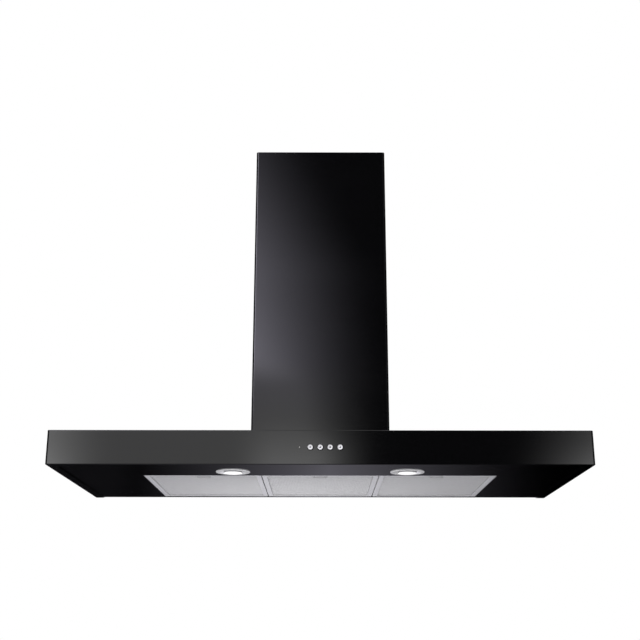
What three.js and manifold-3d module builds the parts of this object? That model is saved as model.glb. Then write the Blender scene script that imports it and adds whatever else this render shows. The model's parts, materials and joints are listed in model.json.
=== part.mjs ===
// A wall-hung chimney range hood: a flat steel canopy with three grease filters, two lamps and four push
// buttons, a blower chamber on top of it, and a telescopic two-piece chimney cover.
// Units are millimetres, +Z is up, +X is the user's right, and the wall is the plane Y = 0, so the front
// of the canopy faces -Y. The origin is the middle of the canopy's rear panel, on the wall.
import * as THREE from "three";
import { mergeVertices } from "three/addons/utils/BufferGeometryUtils.js";
import Module from "manifold-3d";

// ---- Driving dimensions -------------------------------------------------------------------------

const GAP = 0.3; // between two pieces that rest on each other
const PAST = 1; // how far a cutting tool stands out of what it cuts
const CANOPY = { width: 1100, depth: 500, height: 70, sheet: 1.2, corner: 3, sideRim: 20, frontRim: 30 };
const KEYHOLE = { x: 300, z: 4, head: 7, slot: 3.5, rise: 15, lockX: 420, lockZ: -8 };
const INTAKE = { halfX: 105, front: -236, rear: -62 }; // the hole in the canopy's top under the blower
const BAY = { lip: 9, clear: 1 }; // the upturned edge in front of the filters
const BUTTON = { count: 4, pitch: 20, radius: 5.5, hole: 6.2, proud: 2.6, travel: 2, stem: 2.2, cap: 6.8 };
const INDICATOR = { x: -41.5, radius: 1.5, hole: 1.8, proud: 0.6, length: 17 };
const SWITCH = { halfX: 52, depth: 16, halfZ: 13, bore: 6, stemBore: 2.6 };
const BOARD = { halfX: 58, halfZ: 14, thick: 1.6, cover: 18, wall: 1.5, leadHole: 4 };
const PLUG = { x: 34, halfX: 10, height: 9, halfZ: 6 };
const RELAY = { x: -36, halfX: 10, height: 12, halfZ: 8 };
const FILTER = { width: 250, depth: 328, thick: 9, pitch: 252, border: 11, wall: 1, rear: -17.5 };
const FILTER_TAB = { x: 80, half: 14, reach: 9, thick: 1, pivotY: -14 };
const MESH = { lift: 2.2, thick: 2 };
const LATCH = { halfCup: 15, depth: 24, wall: 1, tongue: 8, low: 3.4, high: 5.4, room: 0.6 };
const LATCH_LIP = { half: 11, thick: 2.4, lift: 1 };
const LAMP = { x: 182, fromFront: 101, ring: 36, hole: 33, lens: 21, flange: 1.2, overlap: 4 };
const LAMP_PARTS = { tube: 5.2, can: 31.5, canHeight: 29, canWall: 1, leadHole: 4 };
const LAMP_GLASS = { thick: 2, cup: 19.5, proud: 2.2 };
const BULB = { low: 13, height: 9, radius: 4.5, base: 6, baseLow: 21 };
const TRANSFORMER = { x: -425, y: -307, halfX: 45, halfY: 22, height: 24, foot: 14 };
const CHAMBER = { halfX: 125, rear: -40, front: -250, height: 300, sheet: 1, flange: 15, frontFlange: 12 };
const FAN = { y: -128, above: 114, wheel: 66, half: 65, wall: 2, inlet: 57, spread: 30, start: 8 };
const FAN_DUCT = { rearInset: 6, tongue: 4 }; // the duct's rear wall, and the lip it starts at
const WHEEL = { blades: 20, blade: 1.2, chord: 8.5, pitch: 0.5, end: 3, disc: 2, room: 8 };
const HUB = { radius: 11, start: -5, length: 18 };
const MOTOR = { radius: 40, left: -54, right: -8, nose: 2, boss: 20, arm: 14, plate: 2.5, overlap: 12 };
const SHAFT = { radius: 4, room: 0.6, boreStart: 4, start: 6, end: 16 };
const CAPACITOR = { radius: 14, y: -75, z: 70, height: 52, terminals: 5, clip: 6 };
const TERMINAL = { half: 55, low: 190, high: 265, rear: -10, wall: 2, glandX: 30, lid: 2, border: 10 };
const TERMINAL_BLOCK = { x: -5, half: 25, depth: 12, above: 20, height: 18 };
const GLAND = { stem: 8, nut: 11, nutHeight: 6, dome: 9, domeTop: 6.5, domeHeight: 9, bore: 4 };
const COLLAR = { radius: 75, wall: 2.5, height: 62, y: -150, footX: 88, footY: 84, foot: 3, screwInset: 8 };
const BEAD = { rise: 1.2, width: 4, below: 10 }; // the raised band near the collar's open end
const DAMPER = { axis: 16, spindle: 2, knuckle: 3.6, thick: 1.5, drop: 2.4, clear: 1.5, ledge: 8 };
const CHIMNEY = { width: 310, depth: 275, height: 728, sheet: 1, corner: 3, wall: 1.5 };
const CHIMNEY_LIP = { outer: 12, inner: 27 };
const BRACKET = { halfPad: 100, half: 140, low: 30, high: 2, sheet: 1.5, screwX: 133, screw: 16 };
const BRACKET_SLOT = { x: 70, halfX: 9, halfZ: 3.5 };
const BASE_TAB = { y: -140, half: 20, height: 30, foot: 9, sheet: 1.5, screw: 17 };
const SCREW = { shank: 1.9, hole: 2.2, head: 4, crown: 3, length: 8.5, height: 2.2, flat: 0.9, slot: 1 };

const FILTER_NAMES = ["left", "middle", "right"];

// Levels and lines that several pieces share.
const halfCanopy = CANOPY.width / 2;
const top = CANOPY.height / 2;
const bottom = -top;
const front = -CANOPY.depth;
const panelLow = bottom + CANOPY.sheet + GAP; // the underside panel lies on the canopy's folded rim
const panelHigh = panelLow + CANOPY.sheet;
const filterFront = FILTER.rear - FILTER.depth;
const bayHalf = (FILTER_NAMES.length * FILTER.pitch) / 2;
const bayFront = filterFront - BAY.clear;
const pivotZ = panelHigh + GAP; // the filters swing on the panel's rear strip
const frontInside = front + CANOPY.sheet + GAP;
const standing = top + GAP; // what stands on the canopy starts here
const chamberHigh = standing + CHAMBER.height;
const fanZ = standing + FAN.above;
const collarLow = chamberHigh + GAP;
const chimneyHigh = standing + CHIMNEY.height;

// ---- Materials ----------------------------------------------------------------------------------

const finish = (color, roughness, metalness) =>
  new THREE.MeshStandardMaterial({ color, roughness, metalness });
const MATERIAL = {
  enamel: finish(0x121214, 0.28, 0.2),
  galvanised: finish(0x9da2a6, 0.45, 0.9),
  aluminium: finish(0xc4c4c6, 0.4, 0.9),
  mesh: finish(0xb0b0b2, 0.5, 0.9),
  chrome: finish(0xe2e2e4, 0.15, 1.0),
  glass: finish(0xf4f2ea, 0.1, 0.0),
  button: finish(0xd8d8da, 0.25, 0.8),
  blackPlastic: finish(0x1b1b1d, 0.55, 0.0),
  whitePlastic: finish(0xe6e4de, 0.5, 0.0),
  board: finish(0x1f5a38, 0.5, 0.0),
  steel: finish(0xb8babd, 0.35, 1.0),
};

// ---- Solid helpers ------------------------------------------------------------------------------

const kernel = await Module();
kernel.setup();

/** A closed three.js geometry as a manifold-3d solid. */
function solidOf(geometry) {
  const bare = geometry.clone();
  bare.deleteAttribute("normal");
  bare.deleteAttribute("uv");
  const merged = mergeVertices(bare, 1e-4);
  const vertProperties = merged.attributes.position.array;
  const triVerts = new Uint32Array(merged.index.array);
  return new kernel.Manifold(new kernel.Mesh({ numProp: 3, vertProperties, triVerts }));
}

/** A manifold-3d solid as a three.js geometry. */
function geometryOf(solid) {
  const mesh = solid.getMesh();
  const geometry = new THREE.BufferGeometry();
  geometry.setAttribute("position", new THREE.BufferAttribute(mesh.vertProperties, mesh.numProp));
  geometry.setIndex(new THREE.BufferAttribute(mesh.triVerts, 1));
  return geometry.toNonIndexed();
}

const join = (...solids) => solids.reduce((whole, piece) => whole.add(piece));
const cut = (solid, ...tools) => tools.reduce((whole, tool) => whole.subtract(tool), solid);

/** A solid block between two corners, given as a low and a high value on each axis, in either order. */
function block([x0, x1], [y0, y1], [z0, z1]) {
  const geometry = new THREE.BoxGeometry(Math.abs(x1 - x0), Math.abs(y1 - y0), Math.abs(z1 - z0));
  return solidOf(geometry.translate((x0 + x1) / 2, (y0 + y1) / 2, (z0 + z1) / 2));
}

/** The span from one end, going a length in the + direction. */
const span = (start, length) => [start, start + length];

/** The span of a half-width each side of a middle. */
const around = (middle, half) => [middle - half, middle + half];

const TURN_ALONG = {
  x: (geometry) => geometry.rotateZ(-Math.PI / 2),
  y: (geometry) => geometry,
  z: (geometry) => geometry.rotateX(Math.PI / 2),
};

/** A cylinder or cone along one axis, from a point and going a length in the + direction. */
function rod(axis, start, length, radius, segments = 24, endRadius = radius) {
  const geometry = new THREE.CylinderGeometry(endRadius, radius, length, segments);
  TURN_ALONG[axis](geometry.translate(0, length / 2, 0));
  return solidOf(geometry.translate(...start));
}

/** The same rod, standing out by PAST at both ends, for cutting a hole. */
function drill(axis, start, length, radius, segments = 24) {
  const early = start.map((value, i) => ("xyz"[i] === axis ? value - PAST : value));
  return rod(axis, early, length + 2 * PAST, radius, segments);
}

/** A rod with a hole right through it. */
function ring(axis, start, length, outer, inner, segments = 30) {
  return cut(rod(axis, start, length, outer, segments), drill(axis, start, length, inner, segments));
}

/** A closed outline in X and Y, extruded between two levels. */
function prism(shape, z0, z1, curveSegments = 5) {
  const settings = { depth: z1 - z0, bevelEnabled: false, curveSegments };
  return solidOf(new THREE.ExtrudeGeometry(shape, settings).translate(0, 0, z0));
}

/** A closed outline in Y and Z, extruded along X. */
function sidePrism(shape, x0, x1) {
  const geometry = new THREE.ExtrudeGeometry(shape, { depth: x1 - x0, bevelEnabled: false });
  geometry.rotateZ(Math.PI / 2).rotateY(Math.PI / 2);
  return solidOf(geometry.translate(x0, 0, 0));
}

/** A solid turned about Z from a closed profile of radius and height pairs, anticlockwise. */
function turned(points, segments = 24) {
  const profile = [...points, points[0]].map(([radius, z]) => new THREE.Vector2(radius, z));
  return solidOf(new THREE.LatheGeometry(profile, segments).rotateX(Math.PI / 2));
}

/** Both sides of the hood: -1 on the left and 1 on the right. */
const SIDES = [-1, 1];
const sideName = (side) => (side < 0 ? "left" : "right");

/** A low and a high X on the chosen side of the hood. */
const onSide = (side, x0, x1) => (side < 0 ? [-x1, -x0] : [x0, x1]);

/** A rectangle with its two front corners rounded. */
function frontRounded(halfWidth, frontY, rearY, radius) {
  const shape = new THREE.Shape();
  shape.moveTo(-halfWidth, rearY);
  shape.lineTo(-halfWidth, frontY + radius);
  shape.absarc(-halfWidth + radius, frontY + radius, radius, Math.PI, 1.5 * Math.PI);
  shape.absarc(halfWidth - radius, frontY + radius, radius, 1.5 * Math.PI, 2 * Math.PI);
  shape.lineTo(halfWidth, rearY);
  shape.closePath();
  return shape;
}

// ---- The assembly -------------------------------------------------------------------------------

const hood = new THREE.Group();

/** Adds one named piece to the hood. */
function addPiece(name, material, solid, place = [0, 0, 0], turn = 0) {
  const mesh = new THREE.Mesh(geometryOf(solid), material);
  mesh.name = name;
  mesh.position.set(...place);
  mesh.rotation.z = turn;
  hood.add(mesh);
}

// ---- Canopy -------------------------------------------------------------------------------------

const buttonX = (index) => (index - 1) * BUTTON.pitch;

/** Front, sides, top and a folded rim below, in one sheet, open to the wall. */
function canopyShell() {
  const { sheet, corner, sideRim, frontRim } = CANOPY;
  const outside = frontRounded(halfCanopy, front, 0, corner);
  const inside = frontRounded(halfCanopy - sheet, front + sheet, PAST, corner - sheet);
  const holes = [
    prism(inside, bottom + sheet, top - sheet),
    block(around(0, halfCanopy - sideRim), [front + frontRim, PAST], [bottom - PAST, 0]),
    block(around(0, INTAKE.halfX), [INTAKE.front, INTAKE.rear], [0, top + PAST]),
    drill("y", [INDICATOR.x, front, 0], sheet, INDICATOR.hole, 16),
  ];
  for (let i = 0; i < BUTTON.count; i++) {
    holes.push(drill("y", [buttonX(i), front, 0], sheet, BUTTON.hole, 20));
  }
  return cut(prism(outside, bottom, top), ...holes);
}

/** The back plate, which hangs on two wall screws by its keyholes and is locked by two more. */
function rearPanel() {
  const { sheet } = CANOPY;
  const { x, z, head, slot, rise, lockX, lockZ } = KEYHOLE;
  const halfWidth = halfCanopy - sheet - GAP;
  const plate = block(around(0, halfWidth), [-sheet, 0], [bottom + sheet + GAP, top - sheet - GAP]);
  const holes = SIDES.flatMap((side) => [
    drill("y", [side * x, -sheet, z], sheet, head, 24),
    drill("y", [side * x, -sheet, z + rise], sheet, slot, 16),
    block(around(side * x, slot), [-sheet - PAST, PAST], span(z, rise)),
    drill("y", [side * lockX, -sheet, lockZ], sheet, slot, 16),
  ]);
  return cut(plate, ...holes);
}

/** The flat plate on the rim, with one long bay for the filters and two lamp holes. */
function undersidePanel() {
  const { sheet, corner } = CANOPY;
  const inset = sheet + GAP;
  const outline = frontRounded(halfCanopy - inset, front + inset, -inset, corner);
  const lip = block(around(0, bayHalf + sheet), span(bayFront - sheet, sheet), span(panelLow, BAY.lip));
  const bay = block(around(0, bayHalf), [bayFront, FILTER_TAB.pivotY], around(panelLow, CANOPY.height / 4));
  const lampHoles = SIDES.map((side) => drill("z", [side * LAMP.x, lampY, panelLow], sheet, LAMP.hole, 40));
  return cut(join(prism(outline, panelLow, panelHigh), lip), bay, ...lampHoles);
}

const lampY = front + LAMP.fromFront;
addPiece("canopy_shell", MATERIAL.enamel, canopyShell());
addPiece("rear_panel", MATERIAL.enamel, rearPanel());
addPiece("underside_panel", MATERIAL.enamel, undersidePanel());

// ---- Controls -----------------------------------------------------------------------------------

const boardY = frontInside + SWITCH.depth + GAP;

/** The block behind the front sheet that guides the four button stems. */
function switchHousing() {
  const { halfX, depth, halfZ, bore, stemBore } = SWITCH;
  const bores = [drill("y", [INDICATOR.x, frontInside, 0], depth, INDICATOR.hole, 16)];
  for (let i = 0; i < BUTTON.count; i++) {
    bores.push(rod("y", [buttonX(i), frontInside - PAST, 0], bore + PAST, BUTTON.hole, 20));
    bores.push(drill("y", [buttonX(i), frontInside, 0], depth, stemBore, 16));
  }
  return cut(block(around(0, halfX), span(frontInside, depth), around(0, halfZ)), ...bores);
}

/** A round cap with a dimpled face, and the stem that works the switch. */
function pushButton() {
  const { proud, radius, cap, stem, travel } = BUTTON;
  const stemEnd = boardY - front - GAP - travel;
  const dimple = { radius: 1.6, depth: 0.5 };
  const body = join(
    rod("y", [0, -proud, 0], cap, radius, 24),
    rod("y", [0, 0, 0], stemEnd, stem, 16),
  );
  return cut(body, rod("y", [0, -proud - dimple.depth, 0], 2 * dimple.depth, dimple.radius, 16));
}

/** The light pipe that shows in the small hole beside the buttons. */
function indicatorLens() {
  return rod("y", [INDICATOR.x, front - INDICATOR.proud, 0], INDICATOR.length, INDICATOR.radius, 16);
}

/** The circuit board behind the switch housing, with its relay and its plug. */
function controlBoard() {
  const { halfX, halfZ, thick } = BOARD;
  const onBoard = boardY + thick - GAP;
  const plate = block(around(0, halfX), span(boardY, thick), around(0, halfZ));
  const onto = ({ x, halfX: half, height, halfZ: halfHigh }) =>
    block(around(x, half), span(onBoard, height), around(0, halfHigh));
  return join(plate, onto(PLUG), onto(RELAY));
}

/** The box over the board, open towards the front, with a way out for the leads. */
function controlCover() {
  const { halfX, halfZ, cover, wall, leadHole } = BOARD;
  const room = wall + GAP;
  const box = block(around(0, halfX + room), span(boardY, cover), around(0, halfZ + room));
  const inside = block(
    around(0, halfX + GAP),
    [boardY - PAST, boardY + cover - wall],
    around(0, halfZ + GAP),
  );
  const leadWay = block(
    [halfX, halfX + 2 * room],
    around(boardY + cover / 2, leadHole),
    around(0, leadHole),
  );
  return cut(box, inside, leadWay);
}

const BUTTON_NAMES = ["button_light", "button_speed_1", "button_speed_2", "button_speed_3"];
addPiece("switch_housing", MATERIAL.blackPlastic, switchHousing());
BUTTON_NAMES.forEach((name, i) => {
  addPiece(name, MATERIAL.button, pushButton(), [buttonX(i), front, 0]);
});
addPiece("indicator_lens", MATERIAL.glass, indicatorLens());
addPiece("control_board", MATERIAL.board, controlBoard());
addPiece("control_cover", MATERIAL.blackPlastic, controlCover());

// ---- Grease filters -----------------------------------------------------------------------------

const filterLow = panelLow;
const filterHigh = filterLow + FILTER.thick;
const cupFront = filterFront + FILTER.border + GAP;
const tongueLevel = [filterLow + LATCH.low, filterLow + LATCH.high];
const tongueRoom = [tongueLevel[0] - LATCH.room, tongueLevel[1] + LATCH.room];

/** A rolled channel round the mesh, with two tabs behind that rest on the panel's rear strip. */
function filterFrame() {
  const { width, border, wall, rear } = FILTER;
  const { x, half: tabHalf, reach, thick, pivotY } = FILTER_TAB;
  const half = width / 2;
  const outer = block(around(0, half), [filterFront, rear], [filterLow, filterHigh]);
  const hollow = block(
    around(0, half - wall),
    [filterFront + wall, rear - wall],
    [filterLow + wall, filterHigh - wall],
  );
  const window = block(
    around(0, half - border),
    [filterFront + border, rear - border],
    [filterLow - PAST, filterHigh + PAST],
  );
  const channel = cut(outer, hollow);
  const inner = block(
    around(0, half - border + wall),
    [filterFront + border - wall, rear - border + wall],
    [filterLow, filterHigh],
  );
  const tongueSlot = block(
    around(0, LATCH.tongue + LATCH.room),
    [filterFront - PAST, filterFront + border + PAST],
    tongueRoom,
  );
  const tabs = SIDES.map((side) =>
    block(around(side * x, tabHalf), [rear - wall / 2, pivotY + reach], span(pivotZ, thick)),
  );
  return join(cut(join(channel, inner), window, tongueSlot), ...tabs);
}

/** The mesh pack as a thin plate, notched where the latch sits. */
function filterMesh() {
  const inset = FILTER.border + GAP;
  const low = filterLow + MESH.lift;
  const rear = FILTER.rear - inset;
  const plate = block(around(0, FILTER.width / 2 - inset), [cupFront, rear], span(low, MESH.thick));
  const notch = block(
    around(0, LATCH.halfCup + GAP),
    [cupFront - PAST, cupFront + LATCH.depth + GAP],
    around(low, 2 * MESH.thick),
  );
  return cut(plate, notch);
}

/** A pressed cup let into the mesh behind the front rail, which a fingertip goes into. */
function latchCup() {
  const { halfCup, depth, wall, tongue, room } = LATCH;
  const low = filterLow + wall / 2;
  const high = filterHigh - wall / 2;
  const outer = block(around(0, halfCup), span(cupFront, depth), [low, high]);
  const inner = block(
    around(0, halfCup - wall),
    [cupFront + wall, cupFront + depth - wall],
    [low - PAST, high - wall],
  );
  const slot = block(around(0, tongue + room), around(cupFront, 2 * wall), tongueRoom);
  return cut(outer, inner, slot);
}

/** The sliding latch: a finger lip in the cup, and a tongue that runs forward into the front rail. */
function filterLatch() {
  const lipY = cupFront + LATCH.depth / 2;
  const tongue = block(around(0, LATCH.tongue), [filterFront + LATCH.room, lipY], tongueLevel);
  const { half, thick, lift } = LATCH_LIP;
  const lip = block(around(0, half), around(lipY, thick / 2), [filterLow + lift, tongueLevel[1]]);
  return join(tongue, lip);
}

FILTER_NAMES.forEach((side, i) => {
  const place = [(i - 1) * FILTER.pitch, 0, 0];
  addPiece(`filter_frame_${side}`, MATERIAL.aluminium, filterFrame(), place);
  addPiece(`filter_mesh_${side}`, MATERIAL.mesh, filterMesh(), place);
  addPiece(`filter_latch_cup_${side}`, MATERIAL.steel, latchCup(), place);
  addPiece(`filter_latch_${side}`, MATERIAL.steel, filterLatch(), place);
});

// ---- Lamps --------------------------------------------------------------------------------------

const glassLow = LAMP_PARTS.tube + GAP;
const glassHigh = glassLow + LAMP_GLASS.thick;

/** The bright trim ring, dished towards the lens, with a short tube up through the panel. */
function lampBezel() {
  const { ring: outer, hole, lens, flange } = LAMP;
  const { tube } = LAMP_PARTS;
  const ledge = { thick: 0.6, deep: 1.6 };
  const bevel = 1;
  return turned([
    [lens - bevel, tube - ledge.deep],
    [outer - 5 * bevel, -flange],
    [outer - bevel, -flange],
    [outer, -ledge.thick],
    [outer, 0],
    [hole - bevel, 0],
    [hole - bevel, tube],
    [lens - bevel, tube],
  ]);
}

/** The frosted cover glass: a cup that stands out a little below the bezel and hangs on the bezel's tube. */
function lampLens() {
  const { thick, cup, proud } = LAMP_GLASS;
  const low = -LAMP.flange - proud;
  const body = rod("z", [0, 0, low], glassHigh - low, cup, 40);
  const rim = rod("z", [0, 0, glassLow], thick, LAMP.lens + LAMP.overlap, 40);
  const hollow = rod("z", [0, 0, low + thick], glassHigh - low, cup - thick, 40);
  return cut(join(body, rim), hollow);
}

/** The spun dish above the glass. */
function lampReflector() {
  const low = glassHigh + GAP;
  const rim = LAMP.lens + LAMP.overlap;
  const neck = { outer: 12, inner: 7, height: 12 };
  const thick = 1;
  return turned([
    [rim - thick, low],
    [rim, low],
    [rim, low + thick],
    [neck.outer, low + neck.height],
    [neck.inner, low + neck.height],
    [neck.inner, low + neck.height - thick],
    [neck.outer - thick / 2, low + neck.height - thick],
  ]);
}

/** The capsule bulb and its base. */
function lampBulb() {
  const { low, height, radius, base, baseLow } = BULB;
  return join(rod("z", [0, 0, low], height, radius, 20), rod("z", [0, 0, baseLow], height, base, 20));
}

/** The pressed housing round the lamp, with a way out for the lead. */
function lampCan() {
  const { can, canHeight, canWall, leadHole } = LAMP_PARTS;
  const outer = rod("z", [0, 0, glassLow], canHeight, can, 40);
  const inner = rod("z", [0, 0, glassLow - canWall], canHeight, can - canWall, 40);
  const leadWay = block([can / 2, can + PAST], around(0, leadHole), around(canHeight - leadHole, leadHole));
  return cut(outer, inner, leadWay);
}

for (const side of SIDES) {
  const place = [side * LAMP.x, lampY, panelLow - GAP];
  addPiece(`lamp_bezel_${sideName(side)}`, MATERIAL.chrome, lampBezel(), place);
  addPiece(`lamp_lens_${sideName(side)}`, MATERIAL.glass, lampLens(), place);
  addPiece(`lamp_reflector_${sideName(side)}`, MATERIAL.chrome, lampReflector(), place);
  addPiece(`lamp_bulb_${sideName(side)}`, MATERIAL.whitePlastic, lampBulb(), place);
  addPiece(`lamp_can_${sideName(side)}`, MATERIAL.galvanised, lampCan(), place);
}

/** The lamps' transformer, screwed up under the canopy's top sheet. */
function lampTransformer() {
  const { x, y, halfX, halfY, height, foot } = TRANSFORMER;
  const under = top - CANOPY.sheet - GAP;
  const body = block(around(x, halfX), around(y, halfY), [under - height, under]);
  const feet = block(around(x, halfX + foot), around(y, halfY / 2), [under - CANOPY.sheet, under]);
  return join(body, feet);
}
addPiece("lamp_transformer", MATERIAL.whitePlastic, lampTransformer());

// ---- Blower -------------------------------------------------------------------------------------

/** The sheet-metal box that stands on the canopy, open below and with a round way out on top. */
function blowerChamber() {
  const { halfX, rear, front: frontY, sheet, flange, frontFlange } = CHAMBER;
  const box = block(around(0, halfX), [frontY, rear], [standing, chamberHigh]);
  const foot = block(around(0, halfX + flange), [frontY - frontFlange, rear + flange], span(standing, sheet));
  const inside = block(
    around(0, halfX - sheet),
    [frontY + sheet, rear - sheet],
    [standing - PAST, chamberHigh - sheet],
  );
  const wayOut = drill("z", [0, COLLAR.y, chamberHigh - sheet], sheet, COLLAR.radius - 2 * COLLAR.wall, 40);
  return cut(join(box, foot), inside, wayOut);
}
addPiece("blower_chamber", MATERIAL.galvanised, blowerChamber());

/** The scroll in Y and Z: a spiral that widens round the wheel, then a duct straight up. */
function scrollOutline(inset, topZ) {
  const startAngle = Math.PI / 6;
  const sweep = (7 * Math.PI) / 6;
  const steps = 20;
  const smallest = FAN.wheel + FAN.start - inset;
  const shape = new THREE.Shape();
  for (let i = 0; i <= steps; i++) {
    const angle = startAngle - (sweep * i) / steps;
    const radius = smallest + (FAN.spread * i) / steps;
    const y = FAN.y + radius * Math.cos(angle);
    const z = fanZ + radius * Math.sin(angle);
    if (i === 0) shape.moveTo(y, z);
    else shape.lineTo(y, z);
  }
  const ductRear = FAN.y + FAN.wheel - inset - FAN_DUCT.rearInset;
  shape.lineTo(FAN.y - smallest - FAN.spread, topZ);
  shape.lineTo(ductRear, topZ);
  shape.lineTo(ductRear, fanZ + FAN.wheel - FAN_DUCT.tongue);
  shape.closePath();
  return shape;
}

/** One half of the moulded scroll, split down the middle, with a round inlet in its side wall. */
function scrollShell(side) {
  const scrollTop = chamberHigh - CHAMBER.sheet - GAP;
  const innerX = onSide(side, -PAST, FAN.half - FAN.wall);
  const outside = sidePrism(scrollOutline(0, scrollTop), ...onSide(side, GAP / 2, FAN.half));
  const inside = sidePrism(scrollOutline(FAN.wall, scrollTop + PAST), ...innerX);
  const inlet = drill("x", [side * FAN.half - FAN.wall, FAN.y, fanZ], 2 * FAN.wall, FAN.inlet, 40);
  return cut(outside, inside, inlet);
}

/** The double-sided squirrel-cage wheel: a middle disc, a hub, two end rings and slanted blades. */
function impeller() {
  const { blades, blade, chord, pitch, end, disc, room } = WHEEL;
  const halfLength = FAN.half - room;
  const endRings = SIDES.map((side) =>
    ring("x", [side * halfLength - end / 2, 0, 0], end, FAN.wheel, FAN.wheel - chord),
  );
  const slats = Array.from({ length: blades }, (_, i) => {
    const geometry = new THREE.BoxGeometry(2 * halfLength, blade, chord);
    geometry.rotateX(pitch).translate(0, 0, FAN.wheel - chord / 2 - blade);
    return solidOf(geometry.rotateX((2 * Math.PI * i) / blades));
  });
  const middle = rod("x", [-disc / 2, 0, 0], disc, FAN.wheel - blade, 30);
  const boss = rod("x", [HUB.start, 0, 0], HUB.length, HUB.radius, 24);
  const bore = drill("x", [HUB.start, 0, 0], HUB.length, SHAFT.radius + GAP / 2, 20);
  return cut(join(middle, boss, ...endRings, ...slats), bore);
}

/** The motor, inside the left half of the wheel. */
function motor() {
  const { radius, left, right, nose } = MOTOR;
  const can = rod("x", [left, 0, 0], right - left, radius, 40);
  const boss = rod("x", [right - nose, 0, 0], 2 * nose, radius / 3, 24);
  const bore = rod("x", [left + SHAFT.boreStart, 0, 0], right - left, SHAFT.radius + SHAFT.room, 20);
  return cut(join(can, boss), bore);
}

/** The shaft, from the motor's far bearing to the end of the wheel's hub. */
function motorShaft() {
  const start = MOTOR.left + SHAFT.start;
  return rod("x", [start, 0, 0], SHAFT.end - start, SHAFT.radius, 20);
}

/** Three arms across the left inlet that carry the motor. */
function motorBracket() {
  const { plate, boss, arm, left, overlap } = MOTOR;
  const armX = -FAN.half - GAP - plate;
  const reach = FAN.inlet + overlap;
  const arms = [0, 1, 2].map((i) => {
    const geometry = new THREE.BoxGeometry(plate, arm, reach);
    geometry.translate(armX + plate / 2, 0, reach / 2);
    return solidOf(geometry.rotateX((2 * Math.PI * i) / 3));
  });
  return join(rod("x", [armX, 0, 0], left - GAP - armX, boss, 28), ...arms);
}

/** The motor's run capacitor, clipped upright to the chamber's right wall. */
function runCapacitor() {
  const { radius, y, z, height, terminals, clip } = CAPACITOR;
  const wallX = CHAMBER.halfX - CHAMBER.sheet - GAP;
  const x = wallX - radius;
  const can = rod("z", [x, y, z], height, radius, 28);
  const contacts = rod("z", [x, y, z + height - PAST], terminals + PAST, radius / 3, 16);
  const band = block([x, wallX], around(y, radius / 2), around(z + height / 2, clip));
  return join(can, contacts, band);
}

const fanPlace = [0, FAN.y, fanZ];
for (const side of SIDES) {
  addPiece(`scroll_shell_${sideName(side)}`, MATERIAL.blackPlastic, scrollShell(side));
}
addPiece("impeller", MATERIAL.blackPlastic, impeller(), fanPlace);
addPiece("motor", MATERIAL.steel, motor(), fanPlace);
addPiece("motor_shaft", MATERIAL.steel, motorShaft(), fanPlace);
addPiece("motor_bracket", MATERIAL.galvanised, motorBracket(), fanPlace);
addPiece("run_capacitor", MATERIAL.whitePlastic, runCapacitor());

// ---- Terminal box -------------------------------------------------------------------------------

const terminalFront = CHAMBER.rear + GAP;
const glandY = (terminalFront + TERMINAL.rear) / 2;

/** A tray on the back of the chamber, open towards the wall, with the terminal block in it. */
function terminalBox() {
  const { half, low, high, rear, wall, glandX } = TERMINAL;
  const tray = block(around(0, half), [terminalFront, rear], [low, high]);
  const inside = block(
    around(0, half - wall),
    [terminalFront + wall, rear + PAST],
    [low + wall, high - wall],
  );
  const glandHole = drill("z", [glandX, glandY, high - wall], wall, GLAND.stem + GAP, 24);
  const { x, half: blockHalf, depth, above, height } = TERMINAL_BLOCK;
  const blockY = [terminalFront + wall / 2, terminalFront + depth];
  const terminals = block(around(x, blockHalf), blockY, span(low + above, height));
  return join(cut(tray, inside, glandHole), terminals);
}

/** Its lid, with a raised middle. */
function terminalCover() {
  const { half, low, high, rear, lid, border } = TERMINAL;
  const plate = block(around(0, half), span(rear + GAP, lid), [low, high]);
  const raised = block(around(0, half - border), span(rear + lid, lid), [low + border, high - border]);
  return join(plate, raised);
}

/** The gland that the mains lead comes in through. */
function cableGland() {
  const { stem, nut, nutHeight, dome, domeTop, domeHeight, bore } = GLAND;
  const { glandX, high, wall } = TERMINAL;
  const nutLow = high + GAP;
  const stemLow = high - 3 * wall;
  const domeHigh = nutLow + nutHeight + domeHeight;
  const body = join(
    rod("z", [glandX, glandY, stemLow], nutLow - stemLow + 1, stem, 24),
    rod("z", [glandX, glandY, nutLow], nutHeight, nut, 6),
    rod("z", [glandX, glandY, nutLow + nutHeight - 1], domeHeight + 1, dome, 24, domeTop),
  );
  return cut(body, drill("z", [glandX, glandY, stemLow], domeHigh - stemLow, bore, 20));
}
addPiece("terminal_box", MATERIAL.whitePlastic, terminalBox());
addPiece("terminal_box_cover", MATERIAL.whitePlastic, terminalCover());
addPiece("cable_gland", MATERIAL.blackPlastic, cableGland());

// ---- Outlet collar and damper -------------------------------------------------------------------

const collarBore = COLLAR.radius - COLLAR.wall;

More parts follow.
